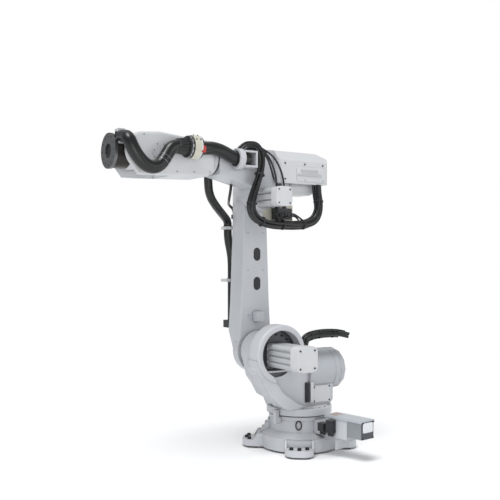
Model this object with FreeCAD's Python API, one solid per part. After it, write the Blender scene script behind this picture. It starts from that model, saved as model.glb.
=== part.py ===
"""Six-axis industrial robot arm, about 2.4 m tall, with its process hose and cable harness.

Frame: origin on the floor under axis 1, +X along the upper arm, +Y to the motor side, +Z up.
Bodies from the floor up: base, turret, lower arm, upper arm, forearm, wrist, tool flange.
All sizes are in millimetres.
"""
import FreeCAD, Part
import math
import os
from FreeCAD import Vector

# ---- joint layout -------------------------------------------------------------------------
AXIS2_X = 320.0            # axis 2 lies this far in front of axis 1
AXIS2_Z = 780.0            # height of axis 2
LOWER_ARM_LENGTH = 1280.0  # axis 2 to axis 3
ELBOW_OFFSET = 200.0       # axis 4 lies this far above axis 3
FOREARM_REACH = 1142.5     # axis 3 to axis 5 along X
WRIST_REACH = 200.0        # axis 5 to the tool flange face
AXIS3_Z = AXIS2_Z + LOWER_ARM_LENGTH
AXIS4_Z = AXIS3_Z + ELBOW_OFFSET
AXIS5_X = AXIS2_X + FOREARM_REACH
FLANGE_X = AXIS5_X + WRIST_REACH

# ---- shared clearances --------------------------------------------------------------------
RUN_GAP = 0.3              # running gap at a bearing face
BODY_GAP = 6.0             # gap between castings of different bodies
BEARING_T = 6.0            # bearing rings stand this far out of a casting

# ---- base ---------------------------------------------------------------------------------
PAD_T = 14.0               # black pads that the feet stand on
PAD_SIZE = 74.0
PAD_PITCH = 46.0           # half the distance between the two pads of a foot
PAD_RADIUS = 368.0
BASE_TOP = 281.0
DRUM_R = 236.0
SKIRT_R = 308.0
SKIRT_TOP = 118.0
SHOULDER_TOP = 156.0       # the skirt slopes up to the drum at this height
FOOT_ANGLE = -37.0         # direction of the first foot, the others follow at 90 degrees
FOOT_W = 222.0
FOOT_REACH = 455.0
FOOT_ROUND = 88.0          # corner radius of a foot's plate
FOOT_T = 50.0
FOOT_HEEL = 336.0          # the upright part of a foot ends at this radius
FOOT_BOLT_CIRCLES = (826.0, 846.0, 806.0)  # right, middle and left hole of each foot
FOOT_BOLT_STEP = 8.5       # angle between neighbouring bolt holes of a foot
FOOT_BOLT_HOLE = 26.0
RIB_T = 16.0
GUSSET_W = 84.0            # stepped gussets between drum and skirt
GUSSET_ANGLES = (-37.0, 143.0, 233.0)
BASE_BEARING_R = 200.0

# ---- connection box on the base -----------------------------------------------------------
BOX_ANGLE = 98.0
BOX_W = 132.0
BOX_BOTTOM = 176.0
BOX_TOP = 306.0
BOX_START = 355.0
BOX_JOINT = 566.0          # cast neck in front of this radius, steel box behind it
BOX_END = 704.0
BOX_LID_T = 9.0
BOX_LID_LIP = 7.0
BOX_FRAME_T = 7.0

# ---- turret -------------------------------------------------------------------------------
TURRET_R = 262.0
TURRET_FLANGE_T = 56.0
TURRET_FACE_Y = 200.0      # outer face of the raised rim on the motor side
TURRET_BACK_Y = -128.0     # face towards the lower arm
TURRET_HUB_R = 158.0       # slimmer hub between the ring and the lower arm
RING_R = 226.0
RING_BACK_Y = 84.0
RING_BORE_R = 182.0
RING_FACE_Y = 212.0
RING_DEPTH = 120.0
RING_ROUND = 16.0
HUB_BEARING_R = 148.0      # bearing face of axis 2
POCKET_FLOOR_Y = 140.0
LEDGE_DROP = 126.0         # top of the ledge below axis 2
CYLINDER_R = 169.0         # balancing cylinder
CYLINDER_Y = 6.0
CYLINDER_Z = 612.0
CYLINDER_FRONT_X = 10.0
CYLINDER_REAR_X = -375.0
CYLINDER_CAP_T = 74.0
MOTOR2_SIZE = 178.0
MOTOR2_Z = 772.0
MOTOR2_END_Y = 438.0
MOTOR2_CAP_T = 84.0

# ---- lower arm ----------------------------------------------------------------------------
ARM_DEPTH = 222.0          # along X
ARM_INNER_Y = -153.0
ARM_OUTER_Y = -330.0
ARM_HUB_R = 172.0
ARM_HUB_T = 92.0
ARM_HUB_ROUND = 30.0
ARM_FLARE_TOP_Z = AXIS3_Z - 232  # the beam widens below this height
ARM_WAIST_Z = 1177.0
ARM_WAIST_DEPTH = 270.0
ARM_FLARE_LOW_Z = 900.0
ARM_FLARE_DEPTH = 304.0
ARM_TAPER_TOP_Z = 960.0
ARM_FOOT_OUTER_Y = -245.0
ARM_EDGE_ROUND = 14.0
ARM_WINDOW_W = 66.0        # slotted openings in the arm's inner wall
ARM_WINDOW_H = 106.0
ARM_WINDOW_DEPTH = 60.0
ARM_WINDOW_Z = (1260.0, 1495.0)
TOP_HUB_R = 142.0
HOSE_BRACKET_Z = (AXIS3_Z - 298, AXIS3_Z - 724)
HOSE_GLAND_Z = 1010.0
CABLE_GLAND_Z = AXIS3_Z - 188
LOWER_HOSE_R = 33.0
LOWER_CABLE_R = 11.0

# ---- upper arm ----------------------------------------------------------------------------
UPPER_INNER_Y = -146.0
UPPER_FACE_Y = 112.0
ELBOW_R = 168.0
UPPER_FRONT_X = 822.0
UPPER_TOP_Z = AXIS3_Z + 266
UPPER_REAR_X = 150.0
COLLAR_R = 77.0            # ring on the near side through which the process hose runs
COLLAR_BORE_R = 58.0
COLLAR_Y = 160.0
COLLAR_Z = AXIS3_Z + 194
COLLAR_FRONT_X = 712.0
COLLAR_REAR_X = 664.0
SADDLE_REAR_X = 552.0      # cast bracket behind the ring
SADDLE_H = 124.0
SADDLE_WALL = 14.0
MOTOR3_SIZE = 138.0
MOTOR3_X = 420.0
MOTOR3_Z = AXIS3_Z - 85
MOTOR3_END_Y = 305.0
MOTOR3_CAP_T = 70.0
REAR_COVER_FRONT_X = 330.0
REAR_COVER_REAR_X = -160.0
REAR_COVER_LOW_Y = -142.0
REAR_COVER_FACE_Y = 178.0
REAR_COVER_BOTTOM = AXIS3_Z + 36
REAR_COVER_TOP = AXIS3_Z + 304

# ---- forearm ------------------------------------------------------------------------------
FOREARM_R = 123.0
FOREARM_BACK_X = 837.0
FORK_CLEAR_R = 262.0       # the wrist turns inside this radius about axis 5
CHEEK_T = 24.0
CHEEK_BACK_X = 878.0
CHEEK_INNER_Y = 128.0
CHEEK_R = 134.0
CHEEK_COVER_R = 64.0       # round cover on each side of the forearm
CLAMP_X = AXIS5_X - 344.5           # hose clamp on the forearm
CLAMP_Y = 246.0
CLAMP_Z = AXIS4_Z + 36
CLAMP_R = 84.0
HOSE_R = 47.0              # process hose
HOSE_END_X = AXIS5_X + 149.5        # hose end on the wrist bracket
HOSE_END_Y = 118.0
HOSE_END_Z = AXIS4_Z + 106

# ---- wrist --------------------------------------------------------------------------------
TILT_R = 112.0
TILT_HALF_W = 117.0
UNIT_R = 118.0
FLANGE_R = 125.0
FLANGE_T = 22.0
FLANGE_BORE_R = 50.0
FLANGE_BOLT_CIRCLE = 200.0
FLANGE_BOLT_COUNT = 12
FLANGE_BOLT_HOLE = 13.0

X_AXIS = Vector(1, 0, 0)
Y_AXIS = Vector(0, 1, 0)
Z_AXIS = Vector(0, 0, 1)


# ---- plain shapes -------------------------------------------------------------------------
def block(x0, x1, y0, y1, z0, z1):
    """Box between two corners."""
    return Part.makeBox(x1 - x0, y1 - y0, z1 - z0, Vector(x0, y0, z0))


def rod(radius, start, axis, length):
    """Cylinder from a start point along an axis."""
    return Part.makeCylinder(radius, length, start, axis)


def rod_y(radius, x, z, y0, y1):
    """Cylinder along Y between two planes."""
    return rod(radius, Vector(x, y0, z), Y_AXIS, y1 - y0)


def rod_x(radius, y, z, x0, x1):
    """Cylinder along X between two planes."""
    return rod(radius, Vector(x0, y, z), X_AXIS, x1 - x0)


def rod_z(radius, x, y, z0, z1):
    """Cylinder along Z between two planes."""
    return rod(radius, Vector(x, y, z0), Z_AXIS, z1 - z0)


def side_plate(points, y0, y1):
    """Outline in the XZ plane, extruded along Y."""
    corners = [Vector(x, y0, z) for x, z in points]
    face = Part.Face(Part.makePolygon(corners + corners[:1]))
    return face.extrude(Vector(0, y1 - y0, 0))


def end_plate(points, x0, x1):
    """Outline in the YZ plane, extruded along X."""
    corners = [Vector(x0, y, z) for y, z in points]
    face = Part.Face(Part.makePolygon(corners + corners[:1]))
    return face.extrude(Vector(x1 - x0, 0, 0))


def stadium(x, z0, z1, width, y0, y1):
    """Upright bar with round ends, seen along Y."""
    radius = width / 2
    bar = block(x - radius, x + radius, y0, y1, z0, z1)
    return bar.fuse([rod_y(radius, x, z0, y0, y1), rod_y(radius, x, z1, y0, y1)]).removeSplitter()


def turned(shape, angle):
    """Copy turned about axis 1."""
    copy = shape.copy()
    copy.rotate(Vector(0, 0, 0), Z_AXIS, angle)
    return copy


def rounded(shape, radius, picks):
    """Fillet the edges whose middle satisfies the test."""
    edges = [edge for edge in shape.Edges if picks(edge)]
    return shape.makeFillet(radius, edges)


def along(edge, axis):
    """True for a straight edge parallel to an axis."""
    if not isinstance(edge.Curve, (Part.Line, Part.LineSegment)):
        return False
    return abs(edge.tangentAt(edge.FirstParameter).dot(axis)) > 0.999


def tube(points, radius):
    """Tube on straight runs joined by tangent arcs; prints its bend radii."""
    edges = []
    last = points[0]
    radii = []
    for before, corner, after in zip(points, points[1:], points[2:]):
        into = (corner - before).normalize()
        out = (after - corner).normalize()
        turn = math.acos(max(-1.0, min(1.0, into.dot(out))))
        cut = 0.45 * min((corner - before).Length, (after - corner).Length)
        bend = cut / math.tan(turn / 2)
        radii.append(bend)
        first = corner - into * cut
        second = corner + out * cut
        inward = (out - into).normalize()
        centre_distance = bend / math.cos(turn / 2)
        middle = corner + inward * (centre_distance - bend)
        edges.append(Part.LineSegment(last, first).toShape())
        edges.append(Part.Arc(first, middle, second).toShape())
        last = second
    edges.append(Part.LineSegment(last, points[-1]).toShape())
    path = Part.Wire(edges)
    start = (points[1] - points[0]).normalize()
    profile = Part.Wire([Part.Circle(points[0], start, radius).toShape()])
    solid = path.makePipeShell([profile], True, False)
    expected = math.pi * radius ** 2 * path.Length
    print("tube radii", [round(r) for r in radii], "volume ratio", round(solid.Volume / expected, 3))
    return solid


# ---- base ---------------------------------------------------------------------------------
def foot_holes():
    """Twelve vertical bolt holes, three in each foot, each place on its own circle."""
    holes = []
    for index in range(4):
        for step, circle in zip((-1, 0, 1), FOOT_BOLT_CIRCLES):
            angle = math.radians(FOOT_ANGLE + 90 * index + FOOT_BOLT_STEP * step)
            x = circle / 2 * math.cos(angle)
            y = circle / 2 * math.sin(angle)
            holes.append(rod_z(FOOT_BOLT_HOLE / 2, x, y, PAD_T, PAD_T + FOOT_T + 40))
    return holes


def foot():
    """One foot, pointing along +X: round-cornered plate, upright heel and two low ribs."""
    root = SKIRT_R / 2
    plate = block(root, FOOT_REACH, -FOOT_W / 2, FOOT_W / 2, PAD_T, PAD_T + FOOT_T)
    plate = rounded(plate, FOOT_ROUND, lambda e: along(e, Z_AXIS) and e.CenterOfMass.x > SKIRT_R)
    heel = block(root, FOOT_HEEL, -FOOT_W / 2 + RIB_T, FOOT_W / 2 - RIB_T, PAD_T, SKIRT_TOP - 6)
    rib_end = FOOT_REACH - FOOT_ROUND
    rib_points = [(root, PAD_T), (rib_end, PAD_T), (rib_end, PAD_T + FOOT_T), (FOOT_HEEL, SKIRT_TOP),
            (root, SKIRT_TOP)]
    ribs = [side_plate(rib_points, side * (FOOT_W - RIB_T) / 2 - RIB_T / 2,
                       side * (FOOT_W - RIB_T) / 2 + RIB_T / 2) for side in (-1, 1)]
    return plate.fuse([heel] + ribs).removeSplitter()


def gusset():
    """Stepped gusset between the drum and the skirt, pointing along +X."""
    steps = [(DRUM_R / 2, SKIRT_TOP), (SKIRT_R, SKIRT_TOP), (SKIRT_R - 8, 158), (SKIRT_R - 26, 158),
             (SKIRT_R - 34, 196), (SKIRT_R - 50, 196), (SKIRT_R - 60, 226), (DRUM_R / 2, 226)]
    return side_plate(steps, -GUSSET_W / 2, GUSSET_W / 2)


def base_casting():
    """Round drum on a wide skirt with four feet and the bearing face of axis 1."""
    drum = rod_z(DRUM_R, 0, 0, PAD_T, BASE_TOP)
    skirt = rod_z(SKIRT_R, 0, 0, PAD_T, SKIRT_TOP)
    shoulder = Part.makeCone(SKIRT_R - 6, DRUM_R, SHOULDER_TOP - SKIRT_TOP, Vector(0, 0, SKIRT_TOP),
            Z_AXIS)
    collar = rod_z(DRUM_R + 8, 0, 0, BASE_TOP - 34, BASE_TOP - 6)
    feet = [turned(foot(), FOOT_ANGLE + 90 * index) for index in range(4)]
    gussets = [turned(gusset(), angle) for angle in GUSSET_ANGLES]
    bearing = rod_z(BASE_BEARING_R, 0, 0, BASE_TOP, BASE_TOP + BEARING_T - RUN_GAP)
    body = drum.fuse([skirt, shoulder, collar, bearing] + feet + gussets)
    return body.cut(Part.makeCompound(foot_holes())).removeSplitter()


def foot_pads():
    """Two black pads under each foot."""
    pads = []
    for index in range(4):
        for side in (-1, 1):
            y = side * PAD_PITCH
            half = PAD_SIZE / 2
            pad = block(PAD_RADIUS - half, PAD_RADIUS + half, y - half, y + half, 0, PAD_T)
            pads.append(turned(pad, FOOT_ANGLE + 90 * index))
    return Part.makeCompound(pads)


def box_neck():
    """Cast neck that carries the connection box on the skirt."""
    neck = block(DRUM_R - 30, BOX_JOINT, -BOX_W / 2, BOX_W / 2, BOX_BOTTOM - 26, BOX_TOP - 48)
    riser = block(BOX_START, BOX_JOINT, -BOX_W / 2, BOX_W / 2, BOX_TOP - 48, BOX_TOP)
    web = side_plate([(SKIRT_R - 40, 110), (SKIRT_R + 20, 110), (440, BOX_BOTTOM - 26),
                      (SKIRT_R - 40, BOX_BOTTOM - 26)], -24, 24)
    whole = turned(neck.fuse([riser, web]).removeSplitter(), BOX_ANGLE)
    return whole.cut(base_casting())


def connection_box():
    """Steel box at the end of the neck."""
    return turned(block(BOX_JOINT, BOX_END, -BOX_W / 2, BOX_W / 2, BOX_BOTTOM, BOX_TOP), BOX_ANGLE)


def box_lid():
    """Overhanging lid with a turned-down lip."""
    half = BOX_W / 2 + BOX_LID_LIP
    top = block(BOX_START - 10, BOX_END + BOX_FRAME_T + 4, -half, half, BOX_TOP, BOX_TOP + BOX_LID_T)
    lips = [block(BOX_START - 10, BOX_END + BOX_FRAME_T + 4, side * (half - 1.5) - 1.5,
                  side * (half - 1.5) + 1.5, BOX_TOP - 10, BOX_TOP) for side in (-1, 1)]
    return turned(top.fuse(lips).removeSplitter(), BOX_ANGLE)


def box_end_cover():
    """Cover on the end face of the connection box."""
    return turned(block(BOX_END, BOX_END + BOX_FRAME_T, -BOX_W / 2, BOX_W / 2, BOX_BOTTOM, BOX_TOP),
            BOX_ANGLE)


def box_bracket():
    """White angle bracket under the box."""
    half = BOX_W / 2 - 8
    flat = block(440, BOX_JOINT, -half, half, BOX_BOTTOM - 34, BOX_BOTTOM - 26)
    leg = block(440, 452, -half, half, SKIRT_TOP / 2, BOX_BOTTOM - 34)
    return turned(flat.fuse(leg).removeSplitter(), BOX_ANGLE)


def base_connectors():
    """Two black multi-pole connectors on the side of the neck."""
    hood = block(316, 376, -BOX_W / 2 - 52, -BOX_W / 2, BOX_BOTTOM + 16, BOX_TOP - 52)
    second = block(394, 456, -BOX_W / 2 - 46, -BOX_W / 2, BOX_BOTTOM + 16, BOX_TOP - 22)
    return Part.makeCompound([turned(hood, BOX_ANGLE), turned(second, BOX_ANGLE)])


def axis1_stop():
    """Upright stop block of axis 1 with its pin."""
    far = TURRET_R + BODY_GAP + 38
    stop = block(DRUM_R - 2, far, -16, 16, BASE_TOP - 55, BASE_TOP - 9)
    upright = block(TURRET_R + BODY_GAP, far, -16, 16, BASE_TOP - 9, BASE_TOP + 49)
    whole = turned(stop.fuse(upright).removeSplitter(), 14)
    return whole.cut(base_casting())


# ---- turret -------------------------------------------------------------------------------
def wall_outline():
    """Side outline of the turret's upright wall, from its round flange up to axis 2."""
    low = BASE_TOP + BEARING_T + TURRET_FLANGE_T
    return [(-204, low), (-236, low + 34), (-236, 520), (-150, 604), (40, 742), (140, 860), (AXIS2_X,
            AXIS2_Z),
            (470, 742), (430, 590), (376, 520), (330, 440), (262, 400), (236, low)]


def rim_outline():
    """Side outline of the raised rim that sweeps from the ring down to the flange."""
    low = BASE_TOP + BEARING_T + TURRET_FLANGE_T
    return [(60, low), (172, 392), (300, 478), (464, 700), (AXIS2_X, AXIS2_Z), (548, 742), (542, 690),
            (556, 664),
            (524, 632), (484, 556), (440, 482), (372, 418), (318, 376), (250, low)]


def front_rib_outline():
    """Side outline of the wall's front, behind the rim."""
    low = BASE_TOP + BEARING_T + TURRET_FLANGE_T
    return [(AXIS2_X, AXIS2_Z), (500, 742), (486, 640), (440, 566), (400, 500), (340, 430), (290, 394),
            (250, low),
            (100, low)]


def turret_casting():
    """Round flange, upright wall, raised rim and the big ring about axis 2."""
    floor = BASE_TOP + BEARING_T
    flange = rod_z(TURRET_R, 0, 0, floor, floor + TURRET_FLANGE_T)
    flange = rounded(flange, 8, lambda e: e.CenterOfMass.z > floor + 1 and e.Closed)
    wall = side_plate(wall_outline(), TURRET_BACK_Y, POCKET_FLOOR_Y)
    front = side_plate(front_rib_outline(), 0, POCKET_FLOOR_Y)
    rim = side_plate(rim_outline(), RING_BACK_Y, TURRET_FACE_Y)
    ring = rod_y(RING_R, AXIS2_X, AXIS2_Z, RING_BACK_Y, RING_FACE_Y)
    ring = rounded(ring, RING_ROUND, lambda e: e.Closed)
    hub = rod_y(TURRET_HUB_R, AXIS2_X, AXIS2_Z, TURRET_BACK_Y, RING_FACE_Y - RING_DEPTH)
    bore = rod_y(RING_BORE_R, AXIS2_X, AXIS2_Z, RING_FACE_Y - RING_DEPTH, RING_FACE_Y + 1)
    mouth = side_plate([(464, 700), (300, 478), (120, 478), (120, 820), (AXIS2_X, AXIS2_Z)],
                       POCKET_FLOOR_Y, RING_FACE_Y + 1)
    cradle = rod_x(CYLINDER_R, CYLINDER_Y, CYLINDER_Z, CYLINDER_REAR_X, CYLINDER_FRONT_X)
    bearing = rod_y(HUB_BEARING_R, AXIS2_X, AXIS2_Z, ARM_INNER_Y + RUN_GAP, TURRET_BACK_Y)
    whole = flange.fuse([wall, front, rim, ring, hub, bearing])
    return whole.cut(Part.makeCompound([bore, cradle])).cut(mouth).removeSplitter()


def turret_panel():
    """Ledge under the axis-2 motor, across the mouth of the ring."""
    y0 = POCKET_FLOOR_Y
    half = math.sqrt(RING_BORE_R ** 2 - LEDGE_DROP ** 2) + 12
    ledge = block(AXIS2_X - half, AXIS2_X + half, y0, y0 + 44, AXIS2_Z - LEDGE_DROP - 12, AXIS2_Z - LEDGE_DROP)
    return ledge.cut(turret_casting())


def axis2_gearbox():
    """Gearbox face inside the ring."""
    y = RING_FACE_Y - RING_DEPTH
    return rod_y(RING_BORE_R - 1, AXIS2_X, AXIS2_Z, y, y + 34)


def square_motor(x, z, size, y0, y1, corner):
    """Square motor body with rounded corners, along Y."""
    half = size / 2
    body = block(x - half, x + half, y0, y1, z - half, z + half)
    return rounded(body, corner, lambda e: along(e, Y_AXIS))


def axis2_motor():
    """Motor of axis 2."""
    start = RING_FACE_Y - RING_DEPTH + 34
    return square_motor(AXIS2_X, MOTOR2_Z, MOTOR2_SIZE, start, MOTOR2_END_Y, 26)


def axis2_motor_cap():
    """End cap of the axis-2 motor."""
    cap = square_motor(AXIS2_X, MOTOR2_Z, MOTOR2_SIZE + 14, MOTOR2_END_Y, MOTOR2_END_Y + MOTOR2_CAP_T,
            40)
    return rounded(cap, 16, lambda e: e.CenterOfMass.y > MOTOR2_END_Y + MOTOR2_CAP_T - 1)


def balancing_cylinder():
    """Spring housing that balances the lower arm."""
    return rod_x(CYLINDER_R, CYLINDER_Y, CYLINDER_Z, CYLINDER_REAR_X + CYLINDER_CAP_T, CYLINDER_FRONT_X)


def balancing_cap():
    """Domed rear end of the spring housing."""
    cap = rod_x(CYLINDER_R, CYLINDER_Y, CYLINDER_Z, CYLINDER_REAR_X, CYLINDER_REAR_X + CYLINDER_CAP_T)
    return rounded(cap, CYLINDER_CAP_T - 14, lambda e: e.CenterOfMass.x < CYLINDER_REAR_X + 1)


def axis1_motor():
    """Motor of axis 1, upright on the turret flange behind the frame's wall."""
    floor = BASE_TOP + BEARING_T + TURRET_FLANGE_T
    half = 62
    y = TURRET_BACK_Y - half - 1
    body = block(60 - half, 60 + half, y - half, y + half, floor, floor + 132)
    return rounded(body, 18, lambda e: along(e, Z_AXIS))


def brake_release_column():
    """Black strip with the brake release buttons."""
    return block(14, 48, POCKET_FLOOR_Y, POCKET_FLOOR_Y + 16, 378, 532)


def brake_release_guard():
    """Grey guard beside the brake release strip."""
    guard = block(-22, 6, POCKET_FLOOR_Y, POCKET_FLOOR_Y + 24, 374, 536)
    return guard.cut(rod_x(CYLINDER_R, CYLINDER_Y, CYLINDER_Z, CYLINDER_REAR_X, CYLINDER_FRONT_X))


def turret_side_cover():
    """Flat cover on the turret's side, behind the brake release strip."""
    cover = block(-206, -28, POCKET_FLOOR_Y, POCKET_FLOOR_Y + 6, 366, 500)
    return rounded(cover, 14, lambda e: along(e, Y_AXIS))


def cable_gland():
    """Gland block at the back of the ring, from which the free cables come."""
    return block(36, 96, 118, 182, 724, 812).cut(turret_casting())


def pigtail_points():
    """Route of the stiff bundle of free cables."""
    return [Vector(66, 150, 812), Vector(66, 150, 866), Vector(22, 152, 898), Vector(-70, 156, 912),
            Vector(-180, 156, 914), Vector(-300, 152, 906), Vector(-412, 142, 876)]


def pigtail_bundle():
    """Bundle of free cables over the balancing cylinder."""
    return tube(pigtail_points(), 30)


# ---- lower arm ----------------------------------------------------------------------------
def lower_arm_casting():
    """Box beam between axis 2 and axis 3, flared and thinned towards its foot."""
    half = ARM_DEPTH / 2
    flare = ARM_FLARE_DEPTH / 2
    waist = ARM_WAIST_DEPTH / 2
    levels = [(half, AXIS3_Z), (half, ARM_FLARE_TOP_Z), (waist, ARM_WAIST_Z), (flare, ARM_FLARE_LOW_Z), (flare, AXIS2_Z)]
    outline = [(AXIS2_X - out, z) for out, z in levels] + [(AXIS2_X + out, z) for out, z in reversed(levels)]
    beam = side_plate(outline, ARM_OUTER_Y, ARM_INNER_Y)
    head = rod_y(half, AXIS2_X, AXIS3_Z, ARM_OUTER_Y, ARM_INNER_Y)
    beam = beam.fuse(head).removeSplitter()
    beam = rounded(beam, ARM_EDGE_ROUND, lambda e: e.CenterOfMass.z > AXIS2_Z + 60 and
                   min(abs(e.CenterOfMass.y - ARM_INNER_Y), abs(e.CenterOfMass.y - ARM_OUTER_Y)) < 0.01)
    wedge = end_plate([(ARM_OUTER_Y - 1, ARM_TAPER_TOP_Z), (ARM_OUTER_Y - 1, AXIS2_Z - 1),
                       (ARM_FOOT_OUTER_Y, AXIS2_Z - 1), (ARM_FOOT_OUTER_Y, AXIS2_Z)], 0, 2 * AXIS2_X)
    beam = beam.cut(wedge)
    hub = rod_y(ARM_HUB_R, AXIS2_X, AXIS2_Z, ARM_INNER_Y - ARM_HUB_T, ARM_INNER_Y)
    hub = rounded(hub, ARM_HUB_ROUND,
            lambda e: e.Closed and e.CenterOfMass.y < ARM_INNER_Y - ARM_HUB_T + 1)
    top_hub = rod_y(TOP_HUB_R, AXIS2_X, AXIS3_Z, ARM_INNER_Y - 96, ARM_INNER_Y)
    whole = beam.fuse([hub, top_hub]).removeSplitter()
    windows = []
    for z in ARM_WINDOW_Z:
        windows.append(stadium(AXIS2_X - 14, z + ARM_WINDOW_W / 2, z + ARM_WINDOW_H - ARM_WINDOW_W / 2,
                ARM_WINDOW_W,
                               ARM_INNER_Y - ARM_WINDOW_DEPTH, ARM_INNER_Y + 1))
    return whole.cut(Part.makeCompound(windows))


def arm_outer_cover():
    """Round cover on the outer face of the arm at axis 3."""
    cover = rod_y(88, AXIS2_X, AXIS3_Z, ARM_OUTER_Y - 14, ARM_OUTER_Y)
    return cover.makeChamfer(5,
            [e for e in cover.Edges if e.Closed and e.CenterOfMass.y < ARM_OUTER_Y - 13])


def stop_block():
    """Cast stop of axis 2 on the arm's inner face."""
    return block(AXIS2_X - 48, AXIS2_X + 26, ARM_INNER_Y, ARM_INNER_Y + 62, 1012, 1092)


def lower_hose_points():
    """Route of the lower hose down the outer face of the arm."""
    return [Vector(446, -372, HOSE_BRACKET_Z[0]), Vector(446, -372, AXIS3_Z - 356), Vector(434, -376, AXIS3_Z - 424),
            Vector(416, -378, AXIS3_Z - 488), Vector(404, -378, AXIS3_Z - 570), Vector(404, -378, HOSE_GLAND_Z)]


def lower_hose():
    """Lower hose where the arm's brackets hold it."""
    return tube(lower_hose_points(), LOWER_HOSE_R)


def arm_cable_gland():
    """Small gland on the outer face that takes the thin cable."""
    return block(384, 416, ARM_OUTER_Y - 36, ARM_OUTER_Y, CABLE_GLAND_Z - 34, CABLE_GLAND_Z)


def hose_brackets():
    """Two brackets on the outer face that hold the lower hose."""
    bars = []
    for z in HOSE_BRACKET_Z:
        bar = block(314, 486, ARM_OUTER_Y - 84, ARM_OUTER_Y, z - 12, z + 12)
        bars.append(bar.cut(Part.makeCompound([lower_hose(), elbow_hoses()])))
    return Part.makeCompound(bars)


def hose_gland():
    """Gland block in which the lower hose ends."""
    return block(352, 458, ARM_OUTER_Y - 92, ARM_OUTER_Y, HOSE_GLAND_Z - 60, HOSE_GLAND_Z)


def elbow_hoses():
    """Free stretch of the lower hose and the thin cable across axis 3."""
    hose = tube([Vector(760, -158, AXIS3_Z + 90), Vector(760, -158, AXIS3_Z + 10), Vector(726, -186,
            AXIS3_Z - 64),
                 Vector(660, -226, AXIS3_Z - 120), Vector(584, -276, AXIS3_Z - 166), Vector(506, -334,
                 AXIS3_Z - 204),
                 lower_hose_points()[0] + Vector(0, 0, AXIS3_Z - 2004), lower_hose_points()[0]],
                 LOWER_HOSE_R)
    cable = tube([Vector(612, -60, AXIS3_Z + 23.2), Vector(612, -66, AXIS3_Z - 20), Vector(572, -150,
            AXIS3_Z - 70),
                  Vector(516, -246, AXIS3_Z - 94), Vector(462, -336, AXIS3_Z - 110), Vector(400, -350,
                  AXIS3_Z - 146),
                  Vector(400, -350, CABLE_GLAND_Z)], LOWER_CABLE_R)
    return Part.makeCompound([hose, cable])


# ---- upper arm ----------------------------------------------------------------------------
def upper_arm_casting():
    """Elbow disc, motor boss and the tapering beam up to axis 4."""
    elbow = rod_y(ELBOW_R, AXIS2_X, AXIS3_Z, UPPER_INNER_Y, UPPER_FACE_Y)
    elbow = rounded(elbow, 12, lambda e: e.Closed)
    boss = rod_y(MOTOR3_SIZE / 2 + 20, MOTOR3_X, MOTOR3_Z, UPPER_FACE_Y - 60, UPPER_FACE_Y)
    outline = [(UPPER_REAR_X + 6, AXIS3_Z + 10), (UPPER_REAR_X, UPPER_TOP_Z - 30), (UPPER_REAR_X + 30,
            UPPER_TOP_Z),
               (560, UPPER_TOP_Z), (UPPER_FRONT_X, AXIS4_Z + 60), (UPPER_FRONT_X, AXIS4_Z - 124),
               (470, AXIS3_Z - 8)]
    beam = side_plate(outline, -118, UPPER_FACE_Y)
    beam = rounded(beam, 14, lambda e: along(e,
            X_AXIS) or e.CenterOfMass.z < AXIS4_Z - 60 and not along(e, Y_AXIS)
                   and e.CenterOfMass.x > 500)
    bearing = rod_y(120, AXIS2_X, AXIS3_Z, ARM_INNER_Y + RUN_GAP, UPPER_INNER_Y)
    return elbow.fuse([beam, boss, bearing]).removeSplitter()


def elbow_hose_bracket():
    """Bracket under the upper arm that takes the lower hose."""
    return block(722, 775, -196, -118, AXIS3_Z + 90, AXIS3_Z + 116).cut(upper_arm_casting())


def hose_collar():
    """Ring that takes the process hose,
    on a hollow bracket open towards the front and the near side."""
    ring = rod_x(COLLAR_R, COLLAR_Y, COLLAR_Z, COLLAR_REAR_X, COLLAR_FRONT_X)
    low = COLLAR_Z - SADDLE_H / 2
    bracket = block(SADDLE_REAR_X, COLLAR_REAR_X + 6, UPPER_FACE_Y, COLLAR_Y + COLLAR_BORE_R, low,
            low + SADDLE_H)
    hollow = block(SADDLE_REAR_X + SADDLE_WALL, COLLAR_REAR_X, UPPER_FACE_Y - 1,
            COLLAR_Y + COLLAR_R + 1,
                   low + SADDLE_WALL, low + SADDLE_H - SADDLE_WALL)
    bore = rod_x(COLLAR_BORE_R, COLLAR_Y, COLLAR_Z, COLLAR_REAR_X - 20, COLLAR_FRONT_X + 1)
    return ring.fuse(bracket).cut(Part.makeCompound([hollow, bore])).cut(upper_arm_casting())


def axis3_motor():
    """Motor of axis 3."""
    return square_motor(MOTOR3_X, MOTOR3_Z, MOTOR3_SIZE, UPPER_FACE_Y, MOTOR3_END_Y, 18)


def axis3_motor_cap():
    """End cap of the axis-3 motor."""
    end = MOTOR3_END_Y + MOTOR3_CAP_T
    cap = square_motor(MOTOR3_X, MOTOR3_Z, MOTOR3_SIZE + 8, MOTOR3_END_Y, end, 30)
    return rounded(cap, 12, lambda e: e.CenterOfMass.y > end - 1)


def rear_cover():
    """Large rounded cover over the motors of axes 4 to 6."""
    low = REAR_COVER_BOTTOM
    top = REAR_COVER_TOP
    face = REAR_COVER_FACE_Y
    back = REAR_COVER_LOW_Y
    outline = [(back, low), (face, low), (face, top - 92), (face - 60, top - 16), (face - 150, top),
               (back + 70, top), (back, top - 60)]
    shell = end_plate(outline, REAR_COVER_REAR_X, REAR_COVER_FRONT_X)
    shell = rounded(shell, 30, lambda e: along(e, Z_AXIS) or along(e,
            Y_AXIS) and e.CenterOfMass.x < -100)
    slope = side_plate([(REAR_COVER_REAR_X - 1, top + 1), (REAR_COVER_REAR_X - 1, top - 58),
                        (REAR_COVER_REAR_X + 118, top + 1)], back - 1, face + 1)
    return shell.cut(Part.makeCompound([slope])).cut(upper_arm_casting())


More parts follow.
